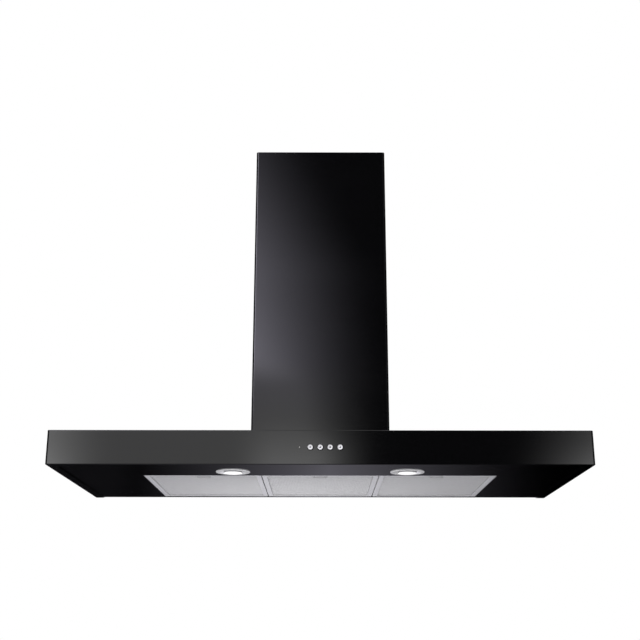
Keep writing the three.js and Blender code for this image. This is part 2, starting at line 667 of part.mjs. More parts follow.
/** The spigot that the duct slides over, with a foot to screw down and a ledge for the flaps. */
function outletCollar() {
  const { radius, height, footX, footY, foot, screwInset } = COLLAR;
  const { axis, spindle, thick, drop, ledge } = DAMPER;
  const ledgeHigh = axis - drop - 2 * GAP;
  const corner = { x: footX - screwInset, y: footY - screwInset };
  const screwHoles = SIDES.flatMap((sideX) =>
    SIDES.map((sideY) => drill("z", [sideX * corner.x, sideY * corner.y, 0], foot, SCREW.hole, 12)),
  );
  const body = join(
    rod("z", [0, 0, 0], height, radius, 32),
    rod("z", [0, 0, height - BEAD.below], BEAD.width, radius + BEAD.rise, 32),
    block(around(0, footX), around(0, footY), span(0, foot)),
  );
  const bored = cut(body, drill("z", [0, 0, 0], height, collarBore, 32));
  const shelf = ring("z", [0, 0, ledgeHigh - 2 * thick], 2 * thick, radius - 1, radius - ledge, 32);
  const pivot = drill("x", [-radius, 0, axis], 2 * radius, spindle + GAP, 16);
  return cut(join(bored, shelf), pivot, ...screwHoles);
}

const KNUCKLES = { length: 18, clear: 0.5, owners: [-1, 1, -1, 1] };

/** The part of the spindle that one knuckle takes up, counted from the left. */
const knuckleSpan = (index) => span((index - KNUCKLES.owners.length / 2) * KNUCKLES.length, KNUCKLES.length);

/** One half-moon flap in front of (-1) or behind (1) the spindle, with two knuckles round it. */
function damperFlap(side) {
  const { spindle, knuckle, thick, drop, clear } = DAMPER;
  const reach = collarBore - clear;
  const disc = rod("z", [0, 0, -drop], thick, reach, 32);
  const otherHalf = block(around(0, 2 * reach), [side * spindle / 2, -side * 2 * reach], around(0, reach));
  const curls = [];
  const notches = [];
  KNUCKLES.owners.forEach((owner, i) => {
    const [start, end] = knuckleSpan(i);
    const inner = [start + KNUCKLES.clear, end - KNUCKLES.clear];
    if (owner === side) curls.push(rod("x", [inner[0], 0, 0], inner[1] - inner[0], knuckle, 20));
    else notches.push(block([start, end], around(0, knuckle + KNUCKLES.clear), around(0, reach)));
  });
  const bore = rod("x", [-reach - PAST, 0, 0], 2 * (reach + PAST), spindle + GAP, 16);
  return cut(join(cut(disc, otherHalf, ...notches), ...curls), bore);
}

/** The wire that both flaps turn on. */
function damperSpindle() {
  const half = COLLAR.radius - 1;
  return rod("x", [-half, 0, 0], 2 * half, DAMPER.spindle, 16);
}

const damperPlace = [0, COLLAR.y, collarLow + DAMPER.axis];
addPiece("outlet_collar", MATERIAL.blackPlastic, outletCollar(), [0, COLLAR.y, collarLow]);
addPiece("damper_flap_front", MATERIAL.blackPlastic, damperFlap(-1), damperPlace);
addPiece("damper_flap_rear", MATERIAL.blackPlastic, damperFlap(1), damperPlace);
addPiece("damper_spindle", MATERIAL.steel, damperSpindle(), damperPlace);

// ---- Chimney ------------------------------------------------------------------------------------

/** The plan of a chimney cover: a front, two sides and two short returns along the wall. */
function coverPlan(halfWidth, frontY, rearY, lip, radius) {
  const { sheet } = CHIMNEY;
  const cornerX = halfWidth - radius;
  const cornerY = frontY + radius;
  const inner = radius - sheet;
  const shape = new THREE.Shape();
  shape.moveTo(-halfWidth + lip, rearY);
  shape.lineTo(-halfWidth, rearY);
  shape.absarc(-cornerX, cornerY, radius, Math.PI, 1.5 * Math.PI);
  shape.absarc(cornerX, cornerY, radius, 1.5 * Math.PI, 2 * Math.PI);
  shape.lineTo(halfWidth, rearY);
  shape.lineTo(halfWidth - lip, rearY);
  shape.lineTo(halfWidth - lip, rearY - sheet);
  shape.lineTo(halfWidth - sheet, rearY - sheet);
  shape.absarc(cornerX, cornerY, inner, 2 * Math.PI, 1.5 * Math.PI, true);
  shape.absarc(-cornerX, cornerY, inner, 1.5 * Math.PI, Math.PI, true);
  shape.lineTo(-halfWidth + sheet, rearY - sheet);
  shape.lineTo(-halfWidth + lip, rearY - sheet);
  shape.closePath();
  return shape;
}

const outerHalf = CHIMNEY.width / 2;
const nesting = 2 * CHIMNEY.sheet; // from the lower cover's outside to the upper cover's outside
const innerRear = -CHIMNEY.wall - nesting;
const innerLow = standing + BASE_TAB.height + GAP;
const innerHigh = chimneyHigh - nesting;
const baseScrewZ = standing + BASE_TAB.screw;
const topScrewZ = innerHigh - BRACKET.screw;

/** The lower cover, which stands on the canopy round everything else. */
function lowerCover() {
  const plan = coverPlan(outerHalf, -CHIMNEY.depth, -CHIMNEY.wall, CHIMNEY_LIP.outer, CHIMNEY.corner);
  const skin = prism(plan, standing, chimneyHigh);
  return cut(skin, drill("x", [-outerHalf, BASE_TAB.y, baseScrewZ], CHIMNEY.width, SCREW.hole, 16));
}

/** The upper cover, which stands on the base tabs and slides up out of the lower one. */
function upperCover() {
  const { depth, sheet, corner } = CHIMNEY;
  const innerHalf = outerHalf - nesting;
  const plan = coverPlan(innerHalf, -depth + nesting, innerRear, CHIMNEY_LIP.inner, corner - sheet);
  const holes = SIDES.map((side) =>
    drill("y", [side * BRACKET.screwX, innerRear - sheet, topScrewZ], sheet, SCREW.hole, 16),
  );
  return cut(prism(plan, innerLow, innerHigh), ...holes);
}

const legRear = innerRear + GAP + BRACKET.sheet; // the wall side of the top bracket's two ends

/** The joggled strip that the upper cover is screwed to, and that is screwed to the wall. */
function topBracket() {
  const { halfPad, half, low, high, sheet, screwX } = BRACKET;
  const { x: slotX, halfX: slotHalfX, halfZ: slotHalfZ } = BRACKET_SLOT;
  const levels = [innerHigh - low, innerHigh - high];
  const pad = block(around(0, halfPad), [-sheet, 0], levels);
  const ends = SIDES.flatMap((side) => [
    block(onSide(side, halfPad - sheet, half), [legRear - sheet, legRear], levels),
    block(onSide(side, halfPad - sheet, halfPad), [legRear - sheet, 0], levels),
  ]);
  const holes = SIDES.flatMap((side) => [
    block(around(side * slotX, slotHalfX), around(0, 2 * sheet), around(topScrewZ, slotHalfZ)),
    drill("y", [side * screwX, legRear - sheet, topScrewZ], sheet, SCREW.hole, 16),
  ]);
  return cut(join(pad, ...ends), ...holes);
}

/** An angle on the canopy's top that the lower cover is screwed to and the upper one stands on. */
function baseTab(side) {
  const { y, half, height, foot, sheet } = BASE_TAB;
  const wallX = outerHalf - CHIMNEY.sheet - GAP;
  const upright = block(onSide(side, wallX - sheet, wallX), around(y, half), span(standing, height));
  const base = block(onSide(side, wallX - foot, wallX), around(y, half), span(standing, sheet));
  const holeX = onSide(side, wallX - sheet, wallX)[0];
  return cut(join(upright, base), drill("x", [holeX, y, baseScrewZ], sheet, SCREW.hole, 16));
}

/** A pan-head screw that points along +X, its head's seat at the origin. */
function panScrew() {
  const { shank, head, crown, length, height, slot } = SCREW;
  const body = join(
    rod("x", [GAP - length, 0, 0], length, shank, 12),
    rod("x", [0, 0, 0], height, head, 20, crown),
  );
  return cut(body, block([height / 2, height + PAST], around(0, slot / 2), around(0, 2 * head)));
}

/** A flat-head screw along +Y that holds the top bracket to the upper cover. */
function bracketScrew() {
  const { shank, head, length, flat } = SCREW;
  return join(rod("y", [0, GAP - length, 0], length, shank, 12), rod("y", [0, 0, 0], flat, head, 20));
}

addPiece("chimney_lower_cover", MATERIAL.enamel, lowerCover());
addPiece("chimney_upper_cover", MATERIAL.enamel, upperCover());
addPiece("chimney_top_bracket", MATERIAL.galvanised, topBracket());
for (const side of SIDES) {
  const sideSeat = [side * (outerHalf + GAP), BASE_TAB.y, baseScrewZ];
  const topSeat = [side * BRACKET.screwX, legRear + GAP, topScrewZ];
  const facing = side < 0 ? Math.PI : 0;
  addPiece(`chimney_base_tab_${sideName(side)}`, MATERIAL.galvanised, baseTab(side));
  addPiece(`chimney_side_screw_${sideName(side)}`, MATERIAL.steel, panScrew(), sideSeat, facing);
  addPiece(`bracket_screw_${sideName(side)}`, MATERIAL.steel, bracketScrew(), topSeat);
}

export default hood;
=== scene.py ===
"""The looks of the wall-hung chimney range hood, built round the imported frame.

Every length in this script is in metres, in the frame's own axes: +X to the user's right, +Y into the
wall, +Z up. MM turns the named sizes, which are written in millimetres, into metres.
"""
import json
import math

import bmesh
import bpy
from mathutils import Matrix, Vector


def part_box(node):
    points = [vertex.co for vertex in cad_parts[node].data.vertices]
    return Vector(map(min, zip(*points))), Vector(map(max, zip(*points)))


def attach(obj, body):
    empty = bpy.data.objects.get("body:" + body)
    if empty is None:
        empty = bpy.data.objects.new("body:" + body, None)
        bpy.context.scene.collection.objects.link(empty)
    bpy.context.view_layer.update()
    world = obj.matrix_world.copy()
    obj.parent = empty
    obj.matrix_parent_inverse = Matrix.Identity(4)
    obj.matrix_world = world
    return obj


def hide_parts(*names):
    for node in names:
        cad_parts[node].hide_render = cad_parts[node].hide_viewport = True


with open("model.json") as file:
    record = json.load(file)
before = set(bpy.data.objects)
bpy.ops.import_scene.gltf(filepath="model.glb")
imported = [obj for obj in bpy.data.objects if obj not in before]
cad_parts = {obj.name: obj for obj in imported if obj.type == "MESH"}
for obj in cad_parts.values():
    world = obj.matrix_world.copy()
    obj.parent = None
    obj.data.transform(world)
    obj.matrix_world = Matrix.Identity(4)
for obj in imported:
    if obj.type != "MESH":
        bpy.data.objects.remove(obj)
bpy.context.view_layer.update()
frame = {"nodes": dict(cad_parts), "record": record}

MM = 0.001
MESH_LONG = 7.0 * MM  # the filters' expanded mesh: one diamond's length, and its width
MESH_SHORT = 3.6 * MM
RECORD = frame["record"]
BODY_OF = {node: body for body, nodes in RECORD["behaviour"]["bodies"].items() for node in nodes}
SLOT_OF = {entry["node"]: entry["material_slot"] for entry in RECORD["subparts"]}
SIDES = {"left": -1, "right": 1}
FILTER_SIDES = ("left", "middle", "right")
BUTTONS = ("button_light", "button_speed_1", "button_speed_2", "button_speed_3")


# ---- Node graphs ---------------------------------------------------------------------------------

NOISE_RANGE = (0.3, 0.7)


class Graph:
    """One node tree, built with a short call for each node."""

    def __init__(self, tree):
        self.tree = tree
        tree.nodes.clear()

    def add(self, kind, settings=None, **inputs):
        """Adds a node. An input's name is written with _ for each space."""
        node = self.tree.nodes.new(kind)
        for name, value in (settings or {}).items():
            setattr(node, name, value)
        for name, value in inputs.items():
            self.feed(node.inputs[name.replace("_", " ")], value)
        return node

    def feed(self, socket, value):
        """Links a socket to another one, or sets it to a value."""
        if isinstance(value, bpy.types.NodeSocket):
            self.tree.links.new(value, socket)
        else:
            socket.default_value = value

    def place(self, scale=(1, 1, 1)):
        """The object's own coordinates, in metres, stretched by a scale."""
        coordinates = self.add("ShaderNodeTexCoord").outputs["Object"]
        return self.add("ShaderNodeMapping", Vector=coordinates, Scale=scale).outputs[0]

    def noise(self, vector, scale, detail=3.0, roughness=0.5):
        """A smooth random value, most of which lies in NOISE_RANGE."""
        settings = {"Scale": scale, "Detail": detail, "Roughness": roughness}
        return self.add("ShaderNodeTexNoise", Vector=vector, **settings).outputs["Fac"]

    def math(self, operation, a, b=0.0, c=0.0):
        node = self.add("ShaderNodeMath", {"operation": operation})
        for socket, value in zip(node.inputs, (a, b, c)):
            self.feed(socket, value)
        return node.outputs[0]

    def spread(self, value, low, high, to_low=0.0, to_high=1.0, smooth=False):
        """Maps low..high to to_low..to_high, held at both ends."""
        kind = "SMOOTHSTEP" if smooth else "LINEAR"
        node = self.add("ShaderNodeMapRange", {"interpolation_type": kind}, Value=value)
        for socket, number in zip(list(node.inputs)[1:5], (low, high, to_low, to_high)):
            self.feed(socket, number)
        return node.outputs[0]

    def vary(self, noise, to_low, to_high):
        """Maps the range where most of a noise lies to to_low..to_high."""
        return self.spread(noise, *NOISE_RANGE, to_low, to_high)

    def blend(self, factor, a, b):
        """A colour between a and b."""
        node = self.add("ShaderNodeMix", {"data_type": "RGBA"})
        self.feed(node.inputs[0], factor)
        for socket, value in zip(node.inputs[6:8], (a, b)):
            self.feed(socket, value if isinstance(value, bpy.types.NodeSocket) else (*value, 1.0))
        return node.outputs[2]

    def bump(self, height, strength, distance):
        return self.add("ShaderNodeBump", Height=height, Strength=strength, Distance=distance).outputs[0]


def surface(name, paint, **fixed):
    """A material: paint(graph) returns the varying inputs of its shader, and fixed holds the others."""
    material = bpy.data.materials.new(name)
    material.use_nodes = True
    graph = Graph(material.node_tree)
    shader = graph.add("ShaderNodeBsdfPrincipled")
    for key, value in {**fixed, **paint(graph)}.items():
        graph.feed(shader.inputs[key.replace("_", " ")], value)
    graph.add("ShaderNodeOutputMaterial", Surface=shader.outputs[0])
    return material


# ---- Materials -----------------------------------------------------------------------------------

def enamel(graph):
    """Gloss black on sheet steel: faint sideways grain, soft smears and a little dust."""
    grain = graph.noise(graph.place((3, 3, 900)), 1.0, 2.0)
    smear = graph.noise(graph.place(), 4.5, 4.0, 0.6)
    dust = graph.noise(graph.place(), 2600.0, 1.0)
    streak = graph.spread(grain, 0.2, 0.8, -0.01, 0.015)
    rough = graph.math("ADD", graph.vary(smear, 0.045, 0.075), streak)
    colour = graph.blend(graph.spread(dust, 0.66, 0.8), (0.0014, 0.0014, 0.0016), (0.006, 0.006, 0.0065))
    wave = graph.noise(graph.place(), 2.2, 1.0)
    height = graph.math("ADD", graph.math("MULTIPLY", grain, 0.02), wave)
    return {"Base_Color": colour, "Roughness": rough, "Normal": graph.bump(height, 0.05, 0.002)}


def galvanised(graph):
    """Zinc-coated sheet: overlapping crystals, each a little lighter or duller than the next."""
    cells = graph.add("ShaderNodeTexVoronoi", Vector=graph.place(), Scale=75.0)
    tint = graph.add("ShaderNodeSeparateColor", Color=cells.outputs["Color"]).outputs[0]
    cloud = graph.noise(graph.place(), 30.0, 5.0, 0.6)
    colour = graph.blend(graph.math("MULTIPLY_ADD", tint, 0.6, graph.math("MULTIPLY", cloud, 0.4)),
                         (0.34, 0.355, 0.365), (0.6, 0.615, 0.62))
    rough = graph.spread(tint, 0.0, 1.0, 0.34, 0.52)
    return {"Base_Color": colour, "Roughness": rough, "Normal": graph.bump(cloud, 0.08, 0.0006)}


def drawn_aluminium(graph):
    """Rolled channel: long drawing lines, a few scuffs and a matt bloom."""
    lines = graph.noise(graph.place((160, 160, 1400)), 1.0, 3.0, 0.6)
    scuff = graph.noise(graph.place(), 90.0, 6.0, 0.7)
    colour = graph.blend(scuff, (0.78, 0.78, 0.795), (0.9, 0.9, 0.91))
    bloom = graph.spread(scuff, 0.5, 0.75, 0.0, 0.1)
    rough = graph.math("ADD", graph.vary(lines, 0.42, 0.52), bloom)
    return {"Base_Color": colour, "Roughness": rough, "Normal": graph.bump(lines, 0.12, 0.0003)}


def foil_strands(graph):
    """The cut and stretched foil of the mesh: bright, with a matt oxide film in patches."""
    film = graph.noise(graph.place(), 140.0, 4.0, 0.6)
    colour = graph.blend(film, (0.48, 0.48, 0.488), (0.65, 0.65, 0.655))
    return {"Base_Color": colour, "Roughness": graph.vary(film, 0.36, 0.55)}


def foil_layers(graph):
    """The layers of mesh deeper in the filter, painted on a slab as crossed rows of bright strands and dark
    gaps; the dark of the gaps is painted shade of the depth between the layers.
    """
    place = graph.place()
    across = graph.add("ShaderNodeSeparateXYZ", Vector=place)
    finer = 1.37
    diagonals = []
    for sign in (1, -1):
        run = graph.math("MULTIPLY_ADD", across.outputs[0], sign / MESH_LONG,
                         graph.math("DIVIDE", across.outputs[1], MESH_SHORT))
        diagonals.append(graph.math("PINGPONG", graph.math("MULTIPLY", run, finer), 0.5))
    strand = graph.math("MINIMUM", *diagonals)
    wobble = graph.noise(place, 600.0, 3.0)
    uneven = graph.math("ADD", strand, graph.math("MULTIPLY", wobble, 0.12))
    # painted shade: the strands keep a light aluminium tone, and the gaps between them are painted dark for
    # the shade between the layers
    strands_and_gap_shade = graph.spread(uneven, 0.1, 0.3, 1.0, 0.0)
    colour = graph.blend(strands_and_gap_shade, (0.26, 0.26, 0.27), (0.62, 0.62, 0.63))
    return {"Base_Color": colour, "Roughness": graph.vary(wobble, 0.35, 0.55),
            "Normal": graph.bump(strands_and_gap_shade, 0.6, 0.0006)}


def chrome(graph):
    """Bright plating with the faintest polishing marks and water spots."""
    marks = graph.noise(graph.place((400, 400, 40)), 1.0, 2.0)
    spots = graph.noise(graph.place(), 260.0, 2.0)
    stain = graph.spread(spots, 0.62, 0.7, 0.0, 0.1)
    rough = graph.math("ADD", graph.vary(marks, 0.16, 0.24), stain)
    colour = graph.blend(marks, (0.93, 0.93, 0.94), (0.98, 0.98, 0.985))
    return {"Base_Color": colour, "Roughness": rough, "Normal": graph.bump(marks, 0.02, 0.0002)}


def frosted_glass(graph):
    """Acid-etched cover glass, lit from behind and brighter in patches."""
    etch = graph.noise(graph.place(), 2400.0, 2.0)
    cloud = graph.noise(graph.place(), 40.0, 2.0)
    return {"Base_Color": graph.blend(cloud, (0.86, 0.86, 0.85), (0.96, 0.96, 0.95)),
            "Emission_Color": graph.blend(cloud, (0.93, 0.94, 0.95), (1.0, 0.99, 0.97)),
            "Roughness": graph.vary(etch, 0.22, 0.4), "Normal": graph.bump(etch, 0.15, 0.0001)}


def wall_glass_painted_shade(graph):
    """The cover glass's unetched wall, painted grey: painted shade standing for the dark of the lamp behind
    it.
    """
    streak = graph.noise(graph.place((300, 300, 1500)), 1.0, 2.0)
    # painted shade: the wall's grey stands for the dark lamp seen through clear glass
    return {"Base_Color": graph.blend(streak, (0.2, 0.2, 0.205), (0.34, 0.34, 0.345)),
            "Roughness": graph.vary(streak, 0.1, 0.22)}


def opal_glass(graph):
    """The bulb's white envelope."""
    cloud = graph.noise(graph.place(), 300.0, 2.0)
    return {"Base_Color": graph.blend(cloud, (0.88, 0.87, 0.83), (0.96, 0.95, 0.92)),
            "Roughness": graph.vary(cloud, 0.12, 0.22)}


def light_pipe(graph):
    """The clear rod behind the indicator's hole, with moulding haze."""
    haze = graph.noise(graph.place(), 1800.0, 3.0)
    return {"Base_Color": graph.blend(haze, (0.3, 0.3, 0.29), (0.45, 0.44, 0.42)),
            "Roughness": graph.vary(haze, 0.08, 0.2)}


def satin_silver(graph):
    """Button caps: turned rings round each cap's own middle, under a satin plating."""
    place = graph.add("ShaderNodeSeparateXYZ", Vector=graph.place())
    cap_pitch = 20 * MM
    ring_pitch = 0.22 * MM
    across = graph.math("PINGPONG", graph.math("ADD", place.outputs[0], cap_pitch), cap_pitch / 2)
    radius = graph.math("SQRT", graph.math("ADD", graph.math("POWER", across, 2.0),
                                           graph.math("POWER", place.outputs[2], 2.0)))
    rings = graph.math("SINE", graph.math("MULTIPLY", radius, 2 * math.pi / ring_pitch))
    cloud = graph.noise(graph.place(), 500.0, 3.0)
    rough = graph.math("ADD", graph.vary(cloud, 0.34, 0.42), graph.math("MULTIPLY", rings, 0.02))
    return {"Base_Color": graph.blend(cloud, (0.52, 0.52, 0.53), (0.62, 0.62, 0.63)), "Roughness": rough,
            "Normal": graph.bump(rings, 0.08, 0.00005)}


def black_plastic(graph):
    """Moulded black plastic with a spark-eroded texture."""
    texture = graph.noise(graph.place(), 1500.0, 3.0, 0.7)
    flow = graph.noise(graph.place(), 22.0, 3.0)
    return {"Base_Color": graph.blend(flow, (0.012, 0.012, 0.013), (0.026, 0.026, 0.028)),
            "Roughness": graph.vary(texture, 0.42, 0.62), "Normal": graph.bump(texture, 0.25, 0.0001)}


def grey_plastic(graph):
    """Moulded light grey plastic for the filters' latches, rubbed a little lighter in patches."""
    texture = graph.noise(graph.place(), 1300.0, 3.0, 0.6)
    rub = graph.noise(graph.place(), 70.0, 3.0)
    return {"Base_Color": graph.blend(rub, (0.4, 0.4, 0.405), (0.5, 0.5, 0.505)),
            "Roughness": graph.vary(texture, 0.4, 0.56), "Normal": graph.bump(texture, 0.2, 0.0001)}


def white_plastic(graph):
    """Moulded off-white plastic, slightly yellowed in patches."""
    texture = graph.noise(graph.place(), 1100.0, 2.0)
    age = graph.noise(graph.place(), 18.0, 3.0)
    return {"Base_Color": graph.blend(age, (0.66, 0.64, 0.58), (0.78, 0.77, 0.73)),
            "Roughness": graph.vary(texture, 0.38, 0.5), "Normal": graph.bump(texture, 0.1, 0.0001)}


def circuit_board(graph):
    """Green solder mask over a pattern of copper tracks."""
    tracks = graph.add("ShaderNodeTexBrick", Vector=graph.place(), Scale=160.0, Mortar_Size=0.05)
    patch = graph.noise(graph.place(), 120.0, 2.0)
    colour = graph.blend(tracks.outputs["Fac"], (0.01, 0.09, 0.035), (0.03, 0.2, 0.08))
    return {"Base_Color": colour, "Roughness": graph.vary(patch, 0.2, 0.32),
            "Normal": graph.bump(tracks.outputs["Fac"], 0.3, 0.0001)}


def bright_steel(graph):
    """Zinc-plated fasteners and turned parts, with the plating's faint straw and blue patches."""
    patch = graph.noise(graph.place(), 130.0, 3.0)
    fine = graph.noise(graph.place(), 1600.0, 3.0)
    return {"Base_Color": graph.blend(patch, (0.52, 0.54, 0.58), (0.7, 0.69, 0.63)),
            "Roughness": graph.vary(fine, 0.22, 0.4), "Normal": graph.bump(fine, 0.06, 0.00005)}


MATERIALS = {
    "enamel_black": surface("gloss_black_enamel", enamel, IOR=1.6),
    "galvanised": surface("galvanised_sheet", galvanised, Metallic=0.7),
    "filter_aluminium": surface("drawn_aluminium", drawn_aluminium, Metallic=0.6),
    "filter_mesh": surface("foil_strands", foil_strands, Metallic=0.35),
    "foil_layers": surface("foil_layers", foil_layers, Metallic=0.3),
    "lamp_chrome": surface("polished_chrome", chrome, Metallic=0.4),
    "lamp_glass": surface("frosted_glass", frosted_glass, Emission_Strength=0.4),
    # the lamp glass wall, painted grey as painted shade for the dark behind it
    "lamp_wall": surface("wall_glass_painted_shade", wall_glass_painted_shade),
    "bulb": surface("opal_glass", opal_glass),
    "indicator_lens": surface("light_pipe", light_pipe, Transmission_Weight=0.3),
    "button_silver": surface("satin_silver", satin_silver, Metallic=0.3),
    "black_plastic": surface("textured_black_plastic", black_plastic),
    "grey_plastic": surface("textured_grey_plastic", grey_plastic),
    "white_plastic": surface("off_white_plastic", white_plastic),
    "circuit_board": surface("solder_mask", circuit_board),
    "bright_steel": surface("zinc_plated_steel", bright_steel, Metallic=1.0),
}


# ---- Mesh tools ----------------------------------------------------------------------------------

def link(name, mesh):
    """An object at the origin that holds a mesh, whose vertices are already in place."""
    made = bpy.data.objects.new(name, mesh)
    bpy.context.scene.collection.objects.link(made)
    return made


def from_bmesh(name, bm):
    """An object made from a bmesh, which it uses up."""
    mesh = bpy.data.meshes.new(name)
    bm.normal_update()
    bm.to_mesh(mesh)
    bm.free()
    return link(name, mesh)


def apply_modifiers(piece):
    """Puts what the modifiers make into the piece's own mesh."""
    graph = bpy.context.evaluated_depsgraph_get()
    mesh = bpy.data.meshes.new_from_object(piece.evaluated_get(graph))
    piece.modifiers.clear()
    piece.data = mesh


def thicken(piece, thickness):
    """Gives a sheet its thickness, on the side away from its normals."""
    modifier = piece.modifiers.new("sheet", "SOLIDIFY")
    modifier.thickness = thickness
    modifier.offset = -1.0
    modifier.use_even_offset = True
    apply_modifiers(piece)


def soften(piece, width, segments=2, angle=40.0):
    """Rounds every edge that turns by more than the angle."""
    modifier = piece.modifiers.new("edges", "BEVEL")
    modifier.width = width
    modifier.segments = segments
    modifier.limit_method = "ANGLE"
    modifier.angle_limit = math.radians(angle)
    modifier.use_clamp_overlap = True
    modifier.miter_outer = "MITER_ARC"
    apply_modifiers(piece)


def carve(piece, cutter):
    """Cuts the cutter's shape out of the piece, and throws the cutter away."""
    modifier = piece.modifiers.new("cut", "BOOLEAN")
    modifier.operation = "DIFFERENCE"
    modifier.solver = "EXACT"
    modifier.object = cutter
    apply_modifiers(piece)
    bpy.data.objects.remove(cutter)


def finish(piece, body, slot, replaces=(), material=None, sharp=35.0):
    """Shades a finished piece, gives it its material (the slot's own by default) and ties it to the frame."""
    mesh = piece.data
    mesh.materials.clear()
    mesh.materials.append(MATERIALS[material or slot])
    for polygon in mesh.polygons:
        polygon.use_smooth = True
        polygon.material_index = 0
    mesh.set_sharp_from_angle(angle=math.radians(sharp))
    modifier = piece.modifiers.new("flat_faces", "WEIGHTED_NORMAL")
    modifier.keep_sharp = True
    modifier.weight = 100
    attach(piece, body)
    if replaces:
        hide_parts(*replaces)
    return piece


TINY = 1e-7  # a length that counts as none
AXES = {
    "x": lambda r, angle, h: (h, r * math.cos(angle), r * math.sin(angle)),
    "y": lambda r, angle, h: (r * math.sin(angle), h, r * math.cos(angle)),
    "z": lambda r, angle, h: (r * math.cos(angle), r * math.sin(angle), h),
}


def hexed(radius, angle):
    """The distance from a hexagon's middle to its edge in a given direction; radius is to its corners."""
    half_side = math.pi / 6
    return radius * math.cos(half_side) / math.cos((angle % (2 * half_side)) - half_side)


def turn(bm, axis, centre, profile, segments=64, closed=False, hex_from=None, hex_to=None):
    """A turned solid. The profile holds (radius, height) pairs, in metres; radius 0 is a point on the axis.

    Rings from hex_from up to hex_to are hexagons, for a nut or the socket of a screw.
    """
    rings = []
    for index, (radius, height) in enumerate(profile):
        in_hex = hex_from is not None and hex_from <= index <= hex_to
        ring = []
        for step in range(segments if radius > TINY else 1):
            angle = 2 * math.pi * step / segments
            reach = hexed(radius, angle) if in_hex else radius
            ring.append(bm.verts.new(Vector(centre) + Vector(AXES[axis](reach, angle, height))))
        rings.append(ring)
    nexts = rings[1:] + rings[:1] if closed else rings[1:]
    for near, far in zip(rings, nexts):
        for step in range(segments):
            after = (step + 1) % segments
            corners = [near[step % len(near)], near[after % len(near)]]
            corners += [far[after % len(far)], far[step % len(far)]]
            corners = list(dict.fromkeys(corners))
            if len(corners) > 2:
                bm.faces.new(corners)
    bmesh.ops.recalc_face_normals(bm, faces=bm.faces)


def round_off(bm, edges, radius, segments):
    """Rounds the given edges."""
    bmesh.ops.bevel(bm, geom=edges, offset=radius, segments=segments, profile=0.5, affect="EDGES")


def slab(bm, low, high, radius=0.0, segments=2):
    """A block between two corners, with its edges rounded if a radius is given."""
    made = bmesh.ops.create_cube(bm, size=1.0)["verts"]
    low, high = Vector(low), Vector(high)
    for vert in made:
        vert.co = Vector((a + (b - a) * (c + 0.5) for a, b, c in zip(low, high, vert.co)))
    if radius:
        edges = {edge for vert in made for edge in vert.link_edges}
        round_off(bm, list(edges), radius, segments)


def window(bm, pick, x_range, y_range):
    """Cuts a rectangular hole through the chosen faces, which are level."""
    for axis, span in ((0, x_range), (1, y_range)):
        for value in span:
            faces = [face for face in bm.faces if pick(face)]
            parts = list({part for face in faces for part in (face, *face.edges, *face.verts)})
            normal = Vector([1.0 if i == axis else 0.0 for i in range(3)])
            plane = {"plane_co": normal * value, "plane_no": normal}
            bmesh.ops.bisect_plane(bm, geom=parts, dist=TINY, **plane)
    inside = []
    for face in bm.faces:
        centre = face.calc_center_median()
        if pick(face) and x_range[0] < centre.x < x_range[1] and y_range[0] < centre.y < y_range[1]:
            inside.append(face)
    bmesh.ops.delete(bm, geom=inside, context="FACES")


def quarter(steps):
    """The angles of a quarter turn, in equal steps from 0."""
    return [i * math.pi / (2 * steps) for i in range(steps + 1)]


def arc(centre, radius, start, end, steps):
    """Points on a circle, by angle in degrees."""
    angles = [math.radians(start + (end - start) * i / steps) for i in range(steps + 1)]
    return [(centre[0] + radius * math.cos(a), centre[1] + radius * math.sin(a)) for a in angles]


def refine(node, width=0.3 * MM, segments=2, material=None, sharp=35.0):
    """A CAD node's own shape with its flat faces merged and its edges rounded."""
    bm = bmesh.new()
    bm.from_mesh(frame["nodes"][node].data)
    bmesh.ops.remove_doubles(bm, verts=bm.verts, dist=1e-6)
    bmesh.ops.dissolve_limit(bm, angle_limit=math.radians(0.6), verts=bm.verts, edges=bm.edges)
    piece = from_bmesh(f"{node}_finished", bm)
    if width:
        soften(piece, width, segments)
    return finish(piece, BODY_OF[node], SLOT_OF[node], (node,), material, sharp)


# ---- Canopy --------------------------------------------------------------------------------------

SHEET = 1.2 * MM
BEND = {"corner": 4.5 * MM, "fold": 1.5 * MM, "flange": 1.2 * MM}
SIDE_RIM = 20 * MM
FRONT_RIM = 30 * MM
INTAKE_EDGE = {"side": 35 * MM, "front": 26 * MM, "rear": 37 * MM}  # in from the blower chamber's foot
BAY_GAP = 1 * MM  # round the filters
BAY_REAR = -14 * MM
HOLE = {"button": 6.2 * MM, "indicator": 1.8 * MM, "lamp": 33 * MM}  # radii
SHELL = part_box("canopy_shell")
FRONT_Y = SHELL[0].y


def middle_of(node):
    """The middle of a node's box."""
    low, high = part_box(node)
    return (low + high) / 2


def button_cutter(names, radius):
    """Round cutters through the front sheet, each with a small chamfer at the face."""
    bm = bmesh.new()
    chamfer = 0.35 * MM
    reach = 4 * MM
    for name in names:
        middle = middle_of(name)
        profile = [(0, -reach), (radius + chamfer + reach, -reach), (radius, chamfer)]
        profile += [(radius, reach), (0, reach)]
        turn(bm, "y", (middle.x, FRONT_Y, middle.z), profile, 48)
    return from_bmesh("cutter", bm)


def is_upright(edge):
    """True for an edge that isn't level."""
    near, far = (vert.co for vert in edge.verts)
    return abs(near.z - far.z) > 0.5 * SHEET


